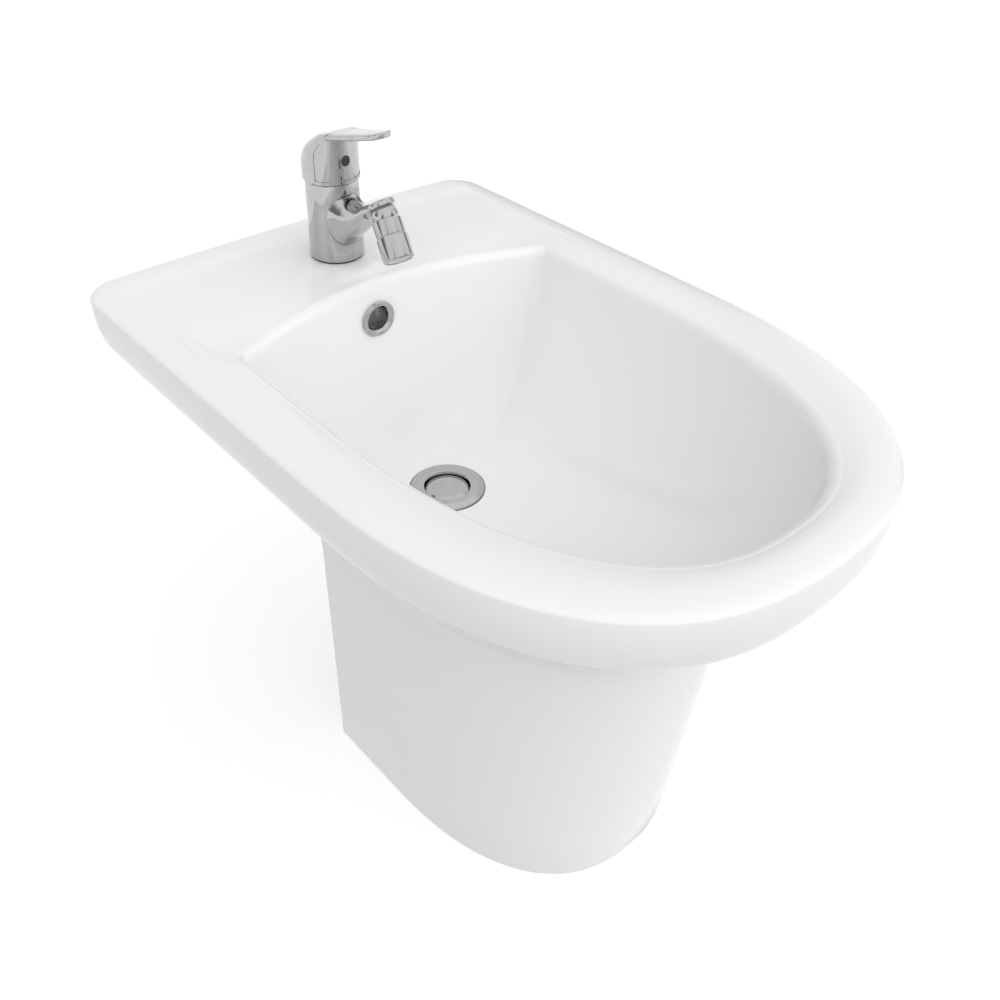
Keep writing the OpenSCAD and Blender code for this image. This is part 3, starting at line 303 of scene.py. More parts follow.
def underside(d, count):
    """Rings from the pedestal's top to the band, then round the band."""
    fall = TUCK_H - 0.8 * d
    neck, tuck = neck_ring(d), level(outline(TUCK_IN + d), TUCK_TOP - fall)
    rings = []
    for t in np.linspace(0, 1, count, endpoint=False):
        ring = mix(neck, tuck, t)
        ring[:, 2] += UNDERSIDE_RISE * t * (1 - t)
        rings.append(ring)
    for a in np.linspace(0, math.pi / 2, count + 10):
        rings.append(level(outline(TUCK_IN * (1 - math.sin(a)) + d), TUCK_TOP - fall * math.cos(a)))
    return rings


def bowl_wall(d, count):
    """Rings from the edge of the opening down to the dish round the waste."""
    top = opening(d)
    top = np.column_stack([top, edge_z(top[:, 1]) - EDGE_R])
    away = top[:, :2] - [0, WASTE_Y]
    low = away / np.linalg.norm(away, axis=1)[:, None] * (DISH_R + d) + [0, WASTE_Y]
    low = level(low, BOWL_FLOOR - d)
    rings = []
    for a in np.linspace(0, math.pi / 2, count + 1)[1:]:
        across = 1 - max(math.cos(a), 0.0) ** (2 / BOWL_POWER)
        down = math.sin(a) ** (2 / BOWL_POWER)
        ring = mix(top[:, :2], low[:, :2], across)
        rings.append(np.column_stack([ring, mix(top[:, 2], low[:, 2], down)]))
    return rings


# %% [markdown]
# The deck is one height field. A low lip runs along the wall, the deck falls from it towards the
# bowl, and a level platform round the tap runs out into a rounded nose.


# %% Height of the rim and deck
def nose_y(x):
    """The platform's front edge: near the tap's axis it reaches forward, beside it it runs back."""
    return TAP_Y - PAD_REACH + PAD_DEPTH * (1 - np.exp(-(x / PAD_FLARE) ** 2))


def land_z(ring, t):
    """Height between the crest (t 0) and the edge of the opening (t 1)."""
    x, y = ring[:, 0], ring[:, 1]
    side = LAND_DROP * t * t
    deck = LIP_DROP * swell(t / 0.2) + (DECK_DROP - LIP_DROP) * np.clip((t - 0.05) / 0.95, 0, 1) ** 2.4
    z = RIM - mix(side, deck, deck_share(y))
    slope = PAD_DEPTH * 2 * x / PAD_FLARE**2 * np.exp(-(x / PAD_FLARE) ** 2)
    inside = (y - nose_y(x)) / np.sqrt(1 + slope**2)
    share = swell((inside + 7) / 13) * (1 - swell((y - PAD_BACK) / 12))
    share = share * (1 - swell((np.abs(x) - PAD_SIDE) / 34))
    ground = ease((y - 150) / 20) * (y < PAD_BACK + 2) * share
    return np.where(PAD_Z > z, mix(z, PAD_Z, share), mix(z, PAD_Z, ground))


def land_rings(count):
    crest, edge = outline(CREST_IN), opening(EDGE_R)
    rings = []
    for t in np.linspace(0, 1, count + 1)[1:]:
        ring = mix(crest, edge, t)
        rings.append(np.column_stack([ring, land_z(ring, t)]))
    return rings


# %% The skin, from the foot to a shallow bowl, and the bowl's depth
UNDER_ROWS, BOWL_ROWS, SHALLOW = 22, 44, 9


def eased_rows(rings, middle, reach, rounds):
    """Softens the turn between two surfaces, along the rows."""
    stack = np.array(rings)
    for _ in range(rounds):
        low, high = middle - reach, middle + reach + 1
        near = (stack[low - 1:high - 1] + stack[low + 1:high + 1]) / 2
        stack[low:high] = stack[low:high] * 0.5 + near * 0.5
    return list(stack)


def china_skin():
    first, neck = level(foot(0, 0.15), FOOT_EDGE), neck_ring(0)
    rings = [level(foot(FOOT_EDGE, 0), 0.0)]
    rings += [level(foot(FOOT_EDGE * (1 - math.sin(a)), 0.1), FOOT_EDGE * (1 - math.cos(a)))
              for a in (0.5, 1.0)]
    rings += [mix(first, neck, t) for t in (0, 0.2, 0.4, 0.6, 0.75, 0.86, 0.91, 0.94, 0.96, 0.98)]
    at_neck = len(rings)
    rings += underside(0, UNDER_ROWS)
    at_tuck = at_neck + UNDER_ROWS
    rings = eased_rows(rings, at_neck, 4, 6)
    rings = eased_rows(rings, at_tuck + 2, 7, 14)
    rings += [level(outline(CREST_IN * (1 - math.cos(a))), BAND_TOP + CREST_DROP * math.sin(a))
              for a in np.linspace(0, math.pi / 2, 13)]
    rings += land_rings(36)
    last = rings[-1]
    for a in np.linspace(0, math.pi / 2, 17)[1:]:
        ring = opening(EDGE_R * (1 - math.sin(a)))
        fall = EDGE_R * (1 - math.cos(a))
        height = mix(last[:, 2], edge_z(ring[:, 1]), math.sin(a))
        rings.append(np.column_stack([ring, height - fall]))
    rings += bowl_wall(0, BOWL_ROWS)[:SHALLOW]
    rings.append(mix(rings[-1], rings[-1].mean(axis=0), 0.2))
    return loft("china", rings)


def cavity():
    """What is taken out for the bowl, from just above the skin's shallow floor down."""
    rings = bowl_wall(0, BOWL_ROWS)[SHALLOW - 3:]
    centre = np.array([0, WASTE_Y, BOWL_FLOOR])
    return loft("tool", rings + [mix(rings[-1], centre, t) for t in (0.2, 0.4)])


china = china_skin()
print("china skin:", len(china.data.polygons), "faces")

# %% [markdown]
# Inside, the china is hollow: the outer wall and the bowl are both about 11 mm thick, and the
# back is open for the pipes. The bowl's shell is joined first, then the hollow and the bowl are
# cut. The overflow's channel runs down behind the bowl to the waste hole. Inside faces are raw.


# %% Hollow, channel, boss, lugs and holes
def bowl_solid(d):
    rings = bowl_wall(d, 24)[::-1]
    return loft("tool", rings + [level(opening(d), RIM + 20)])


def channel(g):
    """The overflow's way down to the waste hole, g wider all round."""
    top, low = OVER_Z + OVER_HOLE_R + g, DUCT_FLOOR - min(g, 4)
    mouth = WASTE_Y + WASTE_HOLE_R / 2
    side = [(OPEN_Y - 14 - g, top), (OPEN_Y + 23 + g, top), (OPEN_Y + 23 + g, OVER_Z - 40),
            (WASTE_Y + 86 + g, 238), (WASTE_Y + 61 + g, low), (mouth, low),
            (mouth, 228), (OPEN_Y - 4 - g, OVER_Z - 60)]
    return loft("tool", [[(x, y, z) for y, z in side] for x in (-DUCT_HW - g, DUCT_HW + g)])


def overflow_frame():
    """The overflow's own axis, on the bowl's back wall and pointing forward."""
    deep = (385 - OVER_Z) / (385 - BOWL_FLOOR)
    a = math.asin(deep ** (BOWL_POWER / 2))
    y = mix(OPEN_Y, WASTE_Y + DISH_R, 1 - math.cos(a) ** (2 / BOWL_POWER))
    return turn(x=90, to=(0, y, OVER_Z))


def coat(obj, mat):
    """Gives the whole piece one material."""
    obj.data.materials.clear()
    obj.data.materials.append(mat)
    obj.data.polygons.foreach_set("material_index", [0] * len(obj.data.polygons))


def upright(x, y, z):
    return turn(to=(x, y, z))


hollow = loft("tool", [level(foot(CHINA_T, -2), -20)] + underside(CHINA_T, 8)
              + [level(outline(CHINA_T), CEILING)])
join(hollow, block((-104, 55, -21), (104, 241, 350)))
cut(hollow, bowl_solid(CHINA_T))
raw = bpy.data.materials.new("raw_china")
coat(hollow, raw)
glaze = bpy.data.materials.new("glaze")
coat(china, glaze)
shell = loft("tool", bowl_wall(CHINA_T, 24)[4:][::-1])
coat(shell, raw)
bowl = cavity()
coat(bowl, glaze)
join(china, shell)
cut(china, hollow, bowl)

drain = upright(0, WASTE_Y, 0)
duct_wall, duct = channel(DUCT_T), channel(0)
cut(duct_wall, bowl_solid(CHINA_T / 2))
cut(duct, bowl_solid(CHINA_T))
boss = cylinder(BOSS_R, 212, 237, drain)
lugs = [block((low, LUG_Y - 17, 0), (high, LUG_Y + 17, LUG_H))
        for low, high in ((-110, -69), (69, 110))]
for solid in (duct_wall, boss, *lugs):
    coat(solid, raw)
join(china, duct_wall, boss, *lugs)

over = overflow_frame()
holes = [duct, cylinder(TAP_HOLE_R, 370, 410, upright(0, TAP_Y, 0)),
         cylinder(WASTE_HOLE_R, 190, 260, drain), cylinder(FLANGE_SEAT_R, 238, 258, drain, 96),
         cylinder(OVER_HOLE_R, -17, 20, over), cylinder(OVER_SEAT_R, 0, 20, over)]
holes += [cylinder(LUG_HOLE_R, -5, 40, upright(s * LUG_X, LUG_Y, 0), 32) for s in (-1, 1)]
for hole in holes:
    coat(hole, glaze)
cut(china, *holes)
smooth(china, 34)
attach(china, "bidet")
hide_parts("china_rim", "china_bowl", "china_pedestal")
print("china:", len(china.data.polygons), "faces")

# %% [markdown]
# ## Chrome
#
# The mixer is a tapered body with a cast spout that swells out of it, and a lever on a round cap.
# The nozzle hangs from a rounded housing under the spout's end.

# %% Sizes and frames for the tap's parts
TAP_BASE_R, TAP_TOP_R, TAP_H = 22.0, 20.8, 62.0
CARTRIDGE_BORE_R, BORE_Z, NUT_BORE_R, NUT_Z = 17.55, 20.0, 18.6, 53.0
HOUSING_R, SEAT_R, HUB_BORE_R = 10.2, 8.3, 8.55
COLLAR_R, NOZZLE_R, NOZZLE_BORE_R = 11.3, 11.9, 10.05
SPINDLE_HALF, GRUB_R, INDEX_R = 4.05, 2.55, 4.05

tap = turn(to=(0, TAP_Y, TAP_Z))
hub = turn(x=-HUB_TILT, to=BALL)
jet = turn(x=-NOZZLE_TILT, z=-NOZZLE_TURN, to=BALL)


def arc(r, start, end, count):
    """Points (radius, height) round the axis' origin, between two angles in radians."""
    return [(r * math.cos(a), r * math.sin(a)) for a in np.linspace(start, end, count)]


def along(values, at):
    """Smooth values between given places, for a spine or a width."""
    xs, ys = np.array(values, float).T
    slope = np.gradient(ys, xs)
    k = np.clip(np.searchsorted(xs, at) - 1, 0, len(xs) - 2)
    h = xs[k + 1] - xs[k]
    t = (at - xs[k]) / h
    return ((1 + 2 * t) * (1 - t) ** 2 * ys[k] + t * (1 - t) ** 2 * h * slope[k]
            + t * t * (3 - 2 * t) * ys[k + 1] + t * t * (t - 1) * h * slope[k + 1])


# %% Mixer body with its spout
def spout():
    """Its lower line, upper line and half width, each against the reach from the tap's axis."""
    low = [(6, 16), (14, 12), (21, 13), (24, 16.5), (34, 26), (44, 35), (53, 44.5), (63.2, 52.5)]
    high = [(6, 55), (14, 55), (21, 54.5), (24, 53), (34, 51.5), (44, 53.5), (53, 58), (63.2, 61.5)]
    half = [(6, 15), (14, 16), (21, 15.2), (24, 14.6), (34, 13.2), (44, 12.2), (53, 11.5), (63.2, 10)]
    angle = np.linspace(0, 2 * math.pi, 72, endpoint=False)
    c, s = np.cos(angle), np.sin(angle)
    rings = []
    for y in np.linspace(low[0][0], low[-1][0], 60):
        z0, z1, w = (float(along(v, np.array(y))) for v in (low, high, half))
        x = w * np.sign(c) * np.abs(c) ** 0.85
        z = (z0 + z1) / 2 + (z1 - z0) / 2 * np.sign(s) * np.abs(s) ** 0.85
        rings.append(np.column_stack([x, np.full(72, TAP_Y - y), z + TAP_Z]))
    return loft("tool", rings)


outer = corners([(0, 0), (TAP_BASE_R, 0), (TAP_TOP_R, TAP_H), (0, TAP_H)], [0, 0.8, 0.6, 0])
body = turned("mixer_body", outer, tap, 128)
lid = corners([(0, 6.5), (10.8, 6.5), (10.8, 10.6), (0, 11.4)], [0, 0.4, 4.2, 0], 12)
join(body, spout(), turned("tool", lid, hub, 96), cylinder(16.8, -5, 1, tap))
cut(body, cylinder(CARTRIDGE_BORE_R, BORE_Z, TAP_H + 1, tap))
cut(body, cylinder(NUT_BORE_R, NUT_Z, TAP_H + 1, tap))
cut(body, cylinder(HUB_BORE_R, 5.5, 8.8, hub), cylinder(16.2, -14, 6.5, hub))
cut(body, turned("tool", [(17.8, -1), (20.8, -1), (20.8, 1), (17.8, 1)], tap, 96, True))
cut(body, *[cylinder(4.6, -6, 6, tap @ turn(to=(s * 8, -3, 0)), 32) for s in (-1, 1)])
cut(body, cylinder(4.05, -6, 6, tap @ turn(to=(0, 10.5, 0)), 32))
smooth(body)
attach(body, "bidet")
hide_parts("tap_body")

# %% [markdown]
# The lever is a round cap whose back rises into a dome, and a flat bar that grows out of the dome
# and runs forward and up to a rounded tip. A shallow recess goes round the front of the cap.

# %% Lever: cap, arm, recess and the pocket for the index plug
CAP_R, CAP_Z, CAP_H, CAP_BORE_R, INDEX_Z = 22.4, 62.6, 35.5, 21.1, 80.6
REACH, TIP_R, ROOT_HW, ROOT_Y, ROOT_T, TIP_T = 74.0, 10.2, 15.8, 12.0, 4.4, 5.0


def lever_top(y):
    """The arm's upper line, y forward of the tap's axis."""
    return CAP_Z + CAP_H + 0.205 * y + 0.0006 * np.maximum(y, 0) * y


def cap_top(x, y):
    rho = np.minimum(np.hypot(x, y) / CAP_R, 1)
    dome = CAP_Z + 11.4 + 21 * np.sqrt(1 - rho * rho)
    root = lever_top(y) - 10 * ease((np.abs(x) - ROOT_HW + 2) / (CAP_R - ROOT_HW + 2))
    return mix(dome, root, ease((y + ROOT_Y) / (2 * ROOT_Y)))


def cap():
    angle = np.linspace(0, 2 * math.pi, 192, endpoint=False)
    x, y = np.cos(angle), np.sin(angle)
    rings = [(0.0, 0.0), (CAP_R - 0.5, 0.0), (CAP_R, 0.5), (CAP_R, None)]
    rings += [(CAP_R * math.cos(a), None) for a in np.linspace(0, math.pi / 2, 40)[1:]]
    made = []
    for r, z in rings:
        height = cap_top(r * x, r * y) if z is None else np.full(192, CAP_Z + z)
        made.append(np.column_stack([r * x, TAP_Y - r * y, TAP_Z + height]))
    return loft("lever", made)


def arm():
    tip_y = REACH - TIP_R
    places = [(y, mix(ROOT_HW, TIP_R, ease(y / tip_y))) for y in np.linspace(ROOT_Y, tip_y, 50)]
    places += [(tip_y + TIP_R * math.sin(a), TIP_R * math.cos(a))
               for a in np.linspace(0, math.pi / 2 - 0.08, 22)[1:]]
    angle = np.linspace(0, 2 * math.pi, 64, endpoint=False)
    c, s = np.cos(angle), np.sin(angle)
    rings = []
    for y, w in places:
        half = mix(ROOT_T, TIP_T, y / REACH) / 2
        thick = half * mix(0.62, 1, min(1, w / TIP_R) ** 0.5)
        middle = lever_top(y) - half - 1.2 * (1 - ease((y - ROOT_Y) / (CAP_R - ROOT_Y)))
        x = w * np.sign(c) * np.abs(c) ** 0.3
        z = middle + thick * np.sign(s) * np.abs(s) ** 0.5
        rings.append(np.column_stack([x, np.full(64, TAP_Y - y), TAP_Z + z]))
    return loft("tool", rings)


def recess():
    edge = float(lever_top(CAP_R)) - ROOT_T
    side = [(9, CAP_Z + 3), (45, CAP_Z + 3), (45, edge + 1), (CAP_R, edge)]
    under = [(17.5, 16.3), (14.8, 14.4), (11.5, 10.5), (9.6, 6), (9, 2)]
    side += corners([(y, INDEX_Z + z) for y, z in under], 2, 3)
    tool = loft("tool", [[(x, TAP_Y - y, TAP_Z + z) for y, z in side] for x in (-40, 40)])
    return cut(tool, cylinder(CAP_R - 0.6, 50, 130, tap, 192))


lever = cap()
join(lever, arm())
cut(lever, recess(), cylinder(CAP_BORE_R, 40, CAP_Z + 14, tap))
cut(lever, block((-SPINDLE_HALF, TAP_Y - SPINDLE_HALF, TAP_Z + 70),
                 (SPINDLE_HALF, TAP_Y + SPINDLE_HALF, TAP_Z + 85.9)))
forward = turn(x=90, to=(0, TAP_Y, TAP_Z + INDEX_Z))
cut(lever, cylinder(GRUB_R, 0, 40, forward, 32), cylinder(INDEX_R, 18.8, 40, forward, 48))
smooth(lever)
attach(lever, "lever")
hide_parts("lever_handle")
print("lever:", len(lever.data.polygons), "faces")

# %% [markdown]
# Nozzle, overflow ring, waste and plug are turned parts, with a rounded edge wherever the light
# would find one.

# %% Swivel housing and nozzle
profile = arc(HOUSING_R, -0.319, 0.69, 24) + [(8.5, 6.5), (8.5, 8.6), (5, 8.6), (5, 6.6)]
profile += arc(SEAT_R, 0.92, -0.06, 12) + arc(7.05, -0.07, -0.471, 6)
housing = turned("housing", profile, hub, 96, True)
smooth(housing)
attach(housing, "bidet")
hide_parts("swivel_housing")

outside = [(COLLAR_R, -4), (COLLAR_R, -15.2), (11.0, -15.5), (11.0, -16), (NOZZLE_R, -16.4),
           (NOZZLE_R, -33.1), (11.0, -34.5)]
inside = [(NOZZLE_BORE_R, -34.5), (NOZZLE_BORE_R, -16), (4.25, -16), (4.25, -10.6)]
rounded = corners(outside + inside, [0.5, 0.3, 0.1, 0.1, 0.4, 0.5, 0.4, 0.2, 0, 0, 0])
nozzle = turned("nozzle", rounded + arc(10.5, -1.155, -0.391, 12), jet, 128, True)
smooth(nozzle)
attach(nozzle, "nozzle")
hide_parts("nozzle_shell")

# %% Overflow ring, waste flange and plug
section = [(9.5, -10), (9.5, 1.4), (12, 4), (13.9, 4), (15, 2.9), (15, 1), (10.5, 1), (10.5, -10)]
section = corners(section, [0, 0.8, 0.9, 0.8, 0.8, 0.1, 0, 0])
ring = turned("overflow_trim", section, over, 96, True)
smooth(ring)
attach(ring, "bidet")
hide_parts("overflow_ring")

SPIDER_LOW, SPIDER_HIGH = 183.5, 191.5


def spider_arm(degrees):
    """One of the three arms that hold the push-to-open sleeve in the barrel."""
    plan = np.array([(0, -2), (0, 2), (20, 2), (20, -2)]) @ turn(z=-degrees)[:2, :2] + [0, WASTE_Y]
    return loft("tool", [level(plan, z) for z in (SPIDER_LOW, SPIDER_HIGH)])


section = [(17.2, 165.5), (17.2, 234.5), (19.2, 237.5), (19.2, 242.2), (19.9, 242.6),
           (26.5, 242.5), (30.4, 241.2), (31, 239.5), (20.95, 239.5), (20.95, 165.5)]
section = corners(section, [0, 0.4, 0.4, 0.5, 0.5, 2.5, 0.7, 0.2, 0, 0])
waste = turned("waste", section, drain, 128, True)
middle = [(0, SPIDER_LOW), (9.5, SPIDER_LOW), (9.5, SPIDER_HIGH), (0, SPIDER_HIGH)]
join(waste, turned("tool", middle, drain, 48), *[spider_arm(a) for a in (0, 120, 240)])
cut(waste, cylinder(6, 180, 195, drain, 48))
cut(waste, block((-23, WASTE_Y - 4.5, 216), (23, WASTE_Y + 4.5, 226)))
cut(waste, block((-4.5, WASTE_Y - 23, 216), (4.5, WASTE_Y + 23, 226)))
smooth(waste)
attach(waste, "bidet")
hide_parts("waste_body")

section = [(0, 232.6), (5.5, 232.6), (5.5, 233.6), (16.3, 233.6), (16.3, 234.6), (15.6, 234.6),
           (15.6, 236.6), (18.2, 236.6), (18.2, 239.1), (13.2, 240.3), (0, 240.3)]
section = corners(section, [0, 0.3, 0, 0.3, 0.2, 0, 0, 0.4, 0.8, 5, 0])
plug = turned("plug_top", section, drain, 128)
cut(plug, cylinder(2.55, 231, 238.1, drain, 32))
smooth(plug)
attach(plug, "plug")
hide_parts("plug_cap")

# %% [markdown]
# ## Materials
#
# Every material's detail comes from a node group on object coordinates in metres, so its grain
# has a real size. A group gives colour, roughness and bump height, and the plain numbers that do
# not vary are set on the shader itself.


# %% Shader building blocks
def group(name, build):
    """A node group with a Color, a Roughness and a Height output."""
    tree = bpy.data.node_groups.new(name, "ShaderNodeTree")
    for label, kind in (("Color", "Color"), ("Roughness", "Float"), ("Height", "Float")):
        tree.interface.new_socket(label, in_out="OUTPUT", socket_type="NodeSocket" + kind)
    out = tree.nodes.new("NodeGroupOutput")
    build(tree, out)
    return tree


def node(tree, kind, inputs=None, **settings):
    n = tree.nodes.new(kind)
    for key, value in settings.items():
        setattr(n, key, value)
    for key, value in (inputs or {}).items():
        n.inputs[key].default_value = value
    return n


def link(tree, a, b):
    tree.links.new(a, b)


def noise(tree, scale, detail=3.0, rough=0.5, stretch=None):
    where = node(tree, "ShaderNodeTexCoord")
    n = node(tree, "ShaderNodeTexNoise", {"Scale": scale, "Detail": detail, "Roughness": rough})
    if stretch:
        bend = node(tree, "ShaderNodeMapping", {"Scale": stretch})
        link(tree, where.outputs["Object"], bend.inputs["Vector"])
        link(tree, bend.outputs["Vector"], n.inputs["Vector"])
    else:
        link(tree, where.outputs["Object"], n.inputs["Vector"])
    return n.outputs["Fac"]


def between(tree, value, low, high, start=0.0, end=1.0):
    """The value's range from start to end, spread over low to high."""
    limits = {"From Min": start, "From Max": end, "To Min": low, "To Max": high}
    m = node(tree, "ShaderNodeMapRange", limits)
    link(tree, value, m.inputs["Value"])
    return m.outputs["Result"]


def tint(tree, value, a, b):
    m = node(tree, "ShaderNodeMix", data_type="RGBA")
    m.inputs["A"].default_value = (*a, 1)
    m.inputs["B"].default_value = (*b, 1)
    link(tree, value, m.inputs["Factor"])
    return m.outputs["Result"]


def material(mat, tree, bump, **plain):
    """The shader, with the group's outputs and the plain numbers on its sockets."""
    mat.use_nodes = True
    nodes = mat.node_tree
    shader = nodes.nodes["Principled BSDF"]
    detail = node(nodes, "ShaderNodeGroup", node_tree=tree)
    raise_ = node(nodes, "ShaderNodeBump", {"Strength": 1.0, "Distance": bump})
    link(nodes, detail.outputs["Color"], shader.inputs["Base Color"])
    link(nodes, detail.outputs["Roughness"], shader.inputs["Roughness"])
    link(nodes, detail.outputs["Height"], raise_.inputs["Height"])
    link(nodes, raise_.outputs["Normal"], shader.inputs["Normal"])
    for key, value in plain.items():
        shader.inputs[key.replace("_", " ")].default_value = value
    return mat


# %% Glaze, raw china, chrome, brass, steel, rubber, plastics and disc ceramic
def glaze_detail(tree, out):
    color = tint(tree, noise(tree, 9, 2), (0.93, 0.93, 0.925), (0.945, 0.945, 0.94))
    link(tree, color, out.inputs["Color"])
    link(tree, between(tree, noise(tree, 40, 4), 0.13, 0.19), out.inputs["Roughness"])
    link(tree, noise(tree, 55, 2), out.inputs["Height"])


def raw_detail(tree, out):
    color = tint(tree, noise(tree, 60, 5), (0.62, 0.59, 0.54), (0.74, 0.71, 0.66))
    link(tree, color, out.inputs["Color"])
    link(tree, between(tree, noise(tree, 200, 3), 0.6, 0.85), out.inputs["Roughness"])
    link(tree, noise(tree, 700, 5), out.inputs["Height"])


def chrome_detail(tree, out):
    color = tint(tree, noise(tree, 120, 3), (0.46, 0.465, 0.47), (0.54, 0.545, 0.55))
    link(tree, color, out.inputs["Color"])
    link(tree, between(tree, noise(tree, 90, 5, 0.6), 0.03, 0.11, 0.35, 0.75), out.inputs["Roughness"])
    link(tree, noise(tree, 160, 2), out.inputs["Height"])


def brass_detail(tree, out):
    color = tint(tree, noise(tree, 150, 4), (0.58, 0.41, 0.17), (0.74, 0.56, 0.28))
    link(tree, color, out.inputs["Color"])
    link(tree, between(tree, noise(tree, 300, 4), 0.22, 0.42), out.inputs["Roughness"])
    link(tree, noise(tree, 900, 2, 0.5, (0.15, 0.15, 4)), out.inputs["Height"])


def steel_detail(tree, out):
    color = tint(tree, noise(tree, 300, 4), (0.50, 0.51, 0.52), (0.64, 0.65, 0.66))
    link(tree, color, out.inputs["Color"])
    link(tree, between(tree, noise(tree, 500, 3), 0.25, 0.45), out.inputs["Roughness"])
    link(tree, noise(tree, 900, 2, 0.5, (4, 0.2, 0.2)), out.inputs["Height"])


def rubber_detail(tree, out):
    color = tint(tree, noise(tree, 250, 4), (0.018, 0.018, 0.019), (0.045, 0.045, 0.045))
    link(tree, color, out.inputs["Color"])
    link(tree, between(tree, noise(tree, 400, 3), 0.6, 0.8), out.inputs["Roughness"])
    link(tree, noise(tree, 1500, 3), out.inputs["Height"])


def white_detail(tree, out):
    color = tint(tree, noise(tree, 120, 2), (0.74, 0.74, 0.71), (0.80, 0.80, 0.78))
    link(tree, color, out.inputs["Color"])
    link(tree, between(tree, noise(tree, 500, 3), 0.38, 0.52), out.inputs["Roughness"])
    link(tree, noise(tree, 1800, 3), out.inputs["Height"])


def dark_detail(tree, out):
    color = tint(tree, noise(tree, 120, 2), (0.022, 0.022, 0.025), (0.05, 0.05, 0.055))
    link(tree, color, out.inputs["Color"])
    link(tree, between(tree, noise(tree, 500, 3), 0.35, 0.5), out.inputs["Roughness"])
    link(tree, noise(tree, 1800, 3), out.inputs["Height"])


def disc_detail(tree, out):
    color = tint(tree, noise(tree, 200, 3), (0.72, 0.66, 0.56), (0.80, 0.75, 0.66))
    link(tree, color, out.inputs["Color"])
    link(tree, between(tree, noise(tree, 300, 3), 0.12, 0.25), out.inputs["Roughness"])
    link(tree, noise(tree, 1200, 3), out.inputs["Height"])


def fresh(name):
    return bpy.data.materials.new(name)


material(glaze, group("glaze detail", glaze_detail), 0.000004,
         Coat_Weight=0.15, Coat_Roughness=0.07, IOR=1.5)
material(raw, group("raw china detail", raw_detail), 0.00015)
chrome = material(fresh("chrome"), group("chrome detail", chrome_detail), 0.00001, Metallic=1.0)
brass = material(fresh("brass"), group("brass detail", brass_detail), 0.00004, Metallic=1.0)
steel = material(fresh("steel"), group("steel detail", steel_detail), 0.00003, Metallic=1.0)
rubber = material(fresh("rubber"), group("rubber detail", rubber_detail), 0.00005)
white = material(fresh("white_plastic"), group("white plastic detail", white_detail), 0.00002)
dark = material(fresh("dark_plastic"), group("dark plastic detail", dark_detail), 0.00002)
disc = material(fresh("disc_ceramic"), group("disc ceramic detail", disc_detail), 0.00001)

# %% Every piece gets its material
finishes = {"chrome": chrome, "brass": brass, "steel": steel, "black_rubber": rubber,
            "white_plastic": white, "dark_plastic": dark, "disc_ceramic": disc}
for part in frame["record"]["subparts"]:
    obj = frame["nodes"][part["node"]]
    if part["material_slot"] in finishes:
        coat(obj, finishes[part["material_slot"]])
for obj in (body, lever, housing, nozzle, ring, waste, plug):
    coat(obj, chrome)

# %% [markdown]
# ## Floor, light and camera
#
# The floor and the background show as white to the camera and in reflections. Everything else
# gets its light from the grey floor and from a world that is brightest in front and above, so that
# the flanks fall into a light grey. A weak area light stands in front and above. Dark soft bands
# stand in the reflections only, for the chrome.


# %% Light paths
def seen(tree):
    """1 for what the camera sees, and for what shows in reflections or through glass."""
    path = node(tree, "ShaderNodeLightPath")
    total = path.outputs["Is Camera Ray"]
    for kind in ("Is Glossy Ray", "Is Transmission Ray"):
        top = node(tree, "ShaderNodeMath", operation="MAXIMUM")
        link(tree, total, top.inputs[0])
        link(tree, path.outputs[kind], top.inputs[1])
        total = top.outputs[0]
    return total


# %% Floor: pale, with the object's soft shadow
FLOOR_HALF = 9000
corner_points = [(x * FLOOR_HALF, y * FLOOR_HALF, 0) for x, y in ((-1, -1), (1, -1), (1, 1), (-1, 1))]
floor = make("floor", corner_points, [(0, 1, 2, 3)])
paint = fresh("floor_paint")
paint.use_nodes = True
tree = paint.node_tree
base = tree.nodes["Principled BSDF"]
base.inputs["Base Color"].default_value = (FLOOR_GREY, FLOOR_GREY, FLOOR_GREY, 1)
base.inputs["Roughness"].default_value = 0.9
base.inputs["Specular IOR Level"].default_value = 0.1
base.inputs["Emission Color"].default_value = (1, 1, 1, 1)
lift = node(tree, "ShaderNodeMath", {1: FLOOR_LIFT}, operation="MULTIPLY")
link(tree, seen(tree), lift.inputs[0])
link(tree, lift.outputs[0], base.inputs["Emission Strength"])
floor.data.materials.append(paint)


# %% Lights
def area(name, place, aim, size, power):
    lamp = bpy.data.lights.new(name, "AREA")
    lamp.shape, lamp.size, lamp.size_y, lamp.energy = "RECTANGLE", size[0], size[1], power
    obj = bpy.data.objects.new(name, lamp)
    obj.location = place
    direction = Vector(place) - Vector(aim)
    obj.rotation_euler = direction.to_track_quat("Z", "Y").to_euler()
    scene.collection.objects.link(obj)
    return obj


area("key", (0.5, -2.0, 2.2), (0, 0, 0.3), (2.4, 2.4), KEY)

# %% World: white where it is seen, light from the front elsewhere, dark bands in reflections
world = bpy.data.worlds.new("studio")
scene.world = world
world.use_nodes = True
tree = world.node_tree
sky = tree.nodes["Background"]
where = node(tree, "ShaderNodeTexCoord")
split = node(tree, "ShaderNodeSeparateXYZ")
link(tree, where.outputs["Generated"], split.inputs["Vector"])
angle = node(tree, "ShaderNodeMath", operation="ARCTAN2")
link(tree, split.outputs["Y"], angle.inputs[0])
link(tree, split.outputs["X"], angle.inputs[1])


def band(middle, half, depth):
    """1 away from one direction round the object, falling to depth in a soft band about it."""
    off = node(tree, "ShaderNodeMath", {1: math.radians(middle)}, operation="SUBTRACT")
    link(tree, angle.outputs[0], off.inputs[0])
    size = node(tree, "ShaderNodeMath", operation="ABSOLUTE")
    link(tree, off.outputs[0], size.inputs[0])
    start, end = math.radians(half * 0.6), math.radians(half * 1.3)
    return between(tree, size.outputs[0], depth, 1.0, start, end)


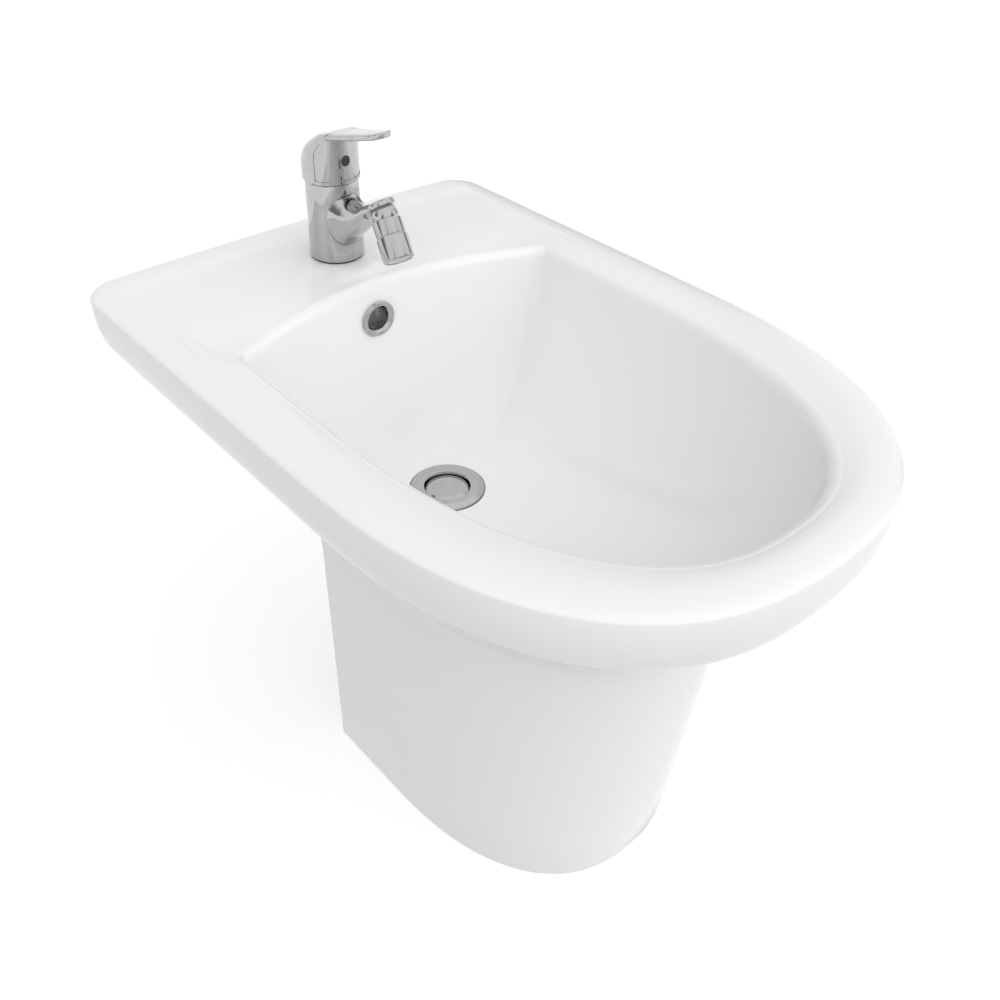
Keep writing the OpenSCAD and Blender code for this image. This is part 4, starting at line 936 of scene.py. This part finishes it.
shade = None
for middle, half, depth in BANDS:
    one = band(middle, half, depth)
    if shade is not None:
        both = node(tree, "ShaderNodeMath", operation="MULTIPLY")
        link(tree, shade, both.inputs[0])
        link(tree, one, both.inputs[1])
        one = both.outputs[0]
    shade = one
low = between(tree, split.outputs["Z"], 1.0, 0.0, 0.25, 0.7)
fade = node(tree, "ShaderNodeMix", data_type="FLOAT")
link(tree, low, fade.inputs["Factor"])
fade.inputs["A"].default_value = 1.0
link(tree, shade, fade.inputs["B"])
path = node(tree, "ShaderNodeLightPath")
mirrored = node(tree, "ShaderNodeMix", data_type="FLOAT")
link(tree, path.outputs["Is Camera Ray"], mirrored.inputs["Factor"])
link(tree, fade.outputs["Result"], mirrored.inputs["A"])
mirrored.inputs["B"].default_value = 1.0
bright = node(tree, "ShaderNodeMix", data_type="FLOAT")
link(tree, seen(tree), bright.inputs["Factor"])
toward = node(tree, "ShaderNodeVectorMath", {1: SIDE}, operation="DOT_PRODUCT")
link(tree, where.outputs["Generated"], toward.inputs[0])
ambient = between(tree, toward.outputs["Value"], DIM_SIDE, BRIGHT_SIDE, -1.0, 1.0)
link(tree, ambient, bright.inputs["A"])
link(tree, mirrored.outputs["Result"], bright.inputs["B"])
link(tree, bright.outputs["Result"], sky.inputs["Strength"])
sky.inputs["Color"].default_value = (1, 1, 1, 1)


# %% Camera at the photograph's angle
AZIMUTH, ELEVATION, ROLL = (math.radians(v) for v in (-42.41, 38.78, 1.68))
CAMERA_AT, LENS = (-0.4165, -0.4574, 0.7631), 36.62


def photo_camera():
    flat = math.cos(ELEVATION)
    back = np.array([math.sin(AZIMUTH) * flat, -math.cos(AZIMUTH) * flat, math.sin(ELEVATION)])
    right = np.array([math.cos(AZIMUTH), math.sin(AZIMUTH), 0])
    up = np.cross(back, right)
    turned_right = math.cos(ROLL) * right + math.sin(ROLL) * up
    turned_up = -math.sin(ROLL) * right + math.cos(ROLL) * up
    data = bpy.data.cameras.new("camera")
    data.sensor_width, data.lens = 36.0, LENS
    obj = bpy.data.objects.new("camera", data)
    m = np.eye(4)
    m[:3, 0], m[:3, 1], m[:3, 2] = turned_right, turned_up, back
    m[:3, 3] = CAMERA_AT
    obj.matrix_world = Matrix(m.tolist())
    scene.collection.objects.link(obj)
    return obj


scene.camera = photo_camera()
scene.view_settings.view_transform = "Standard"
scene.view_settings.look = "None"
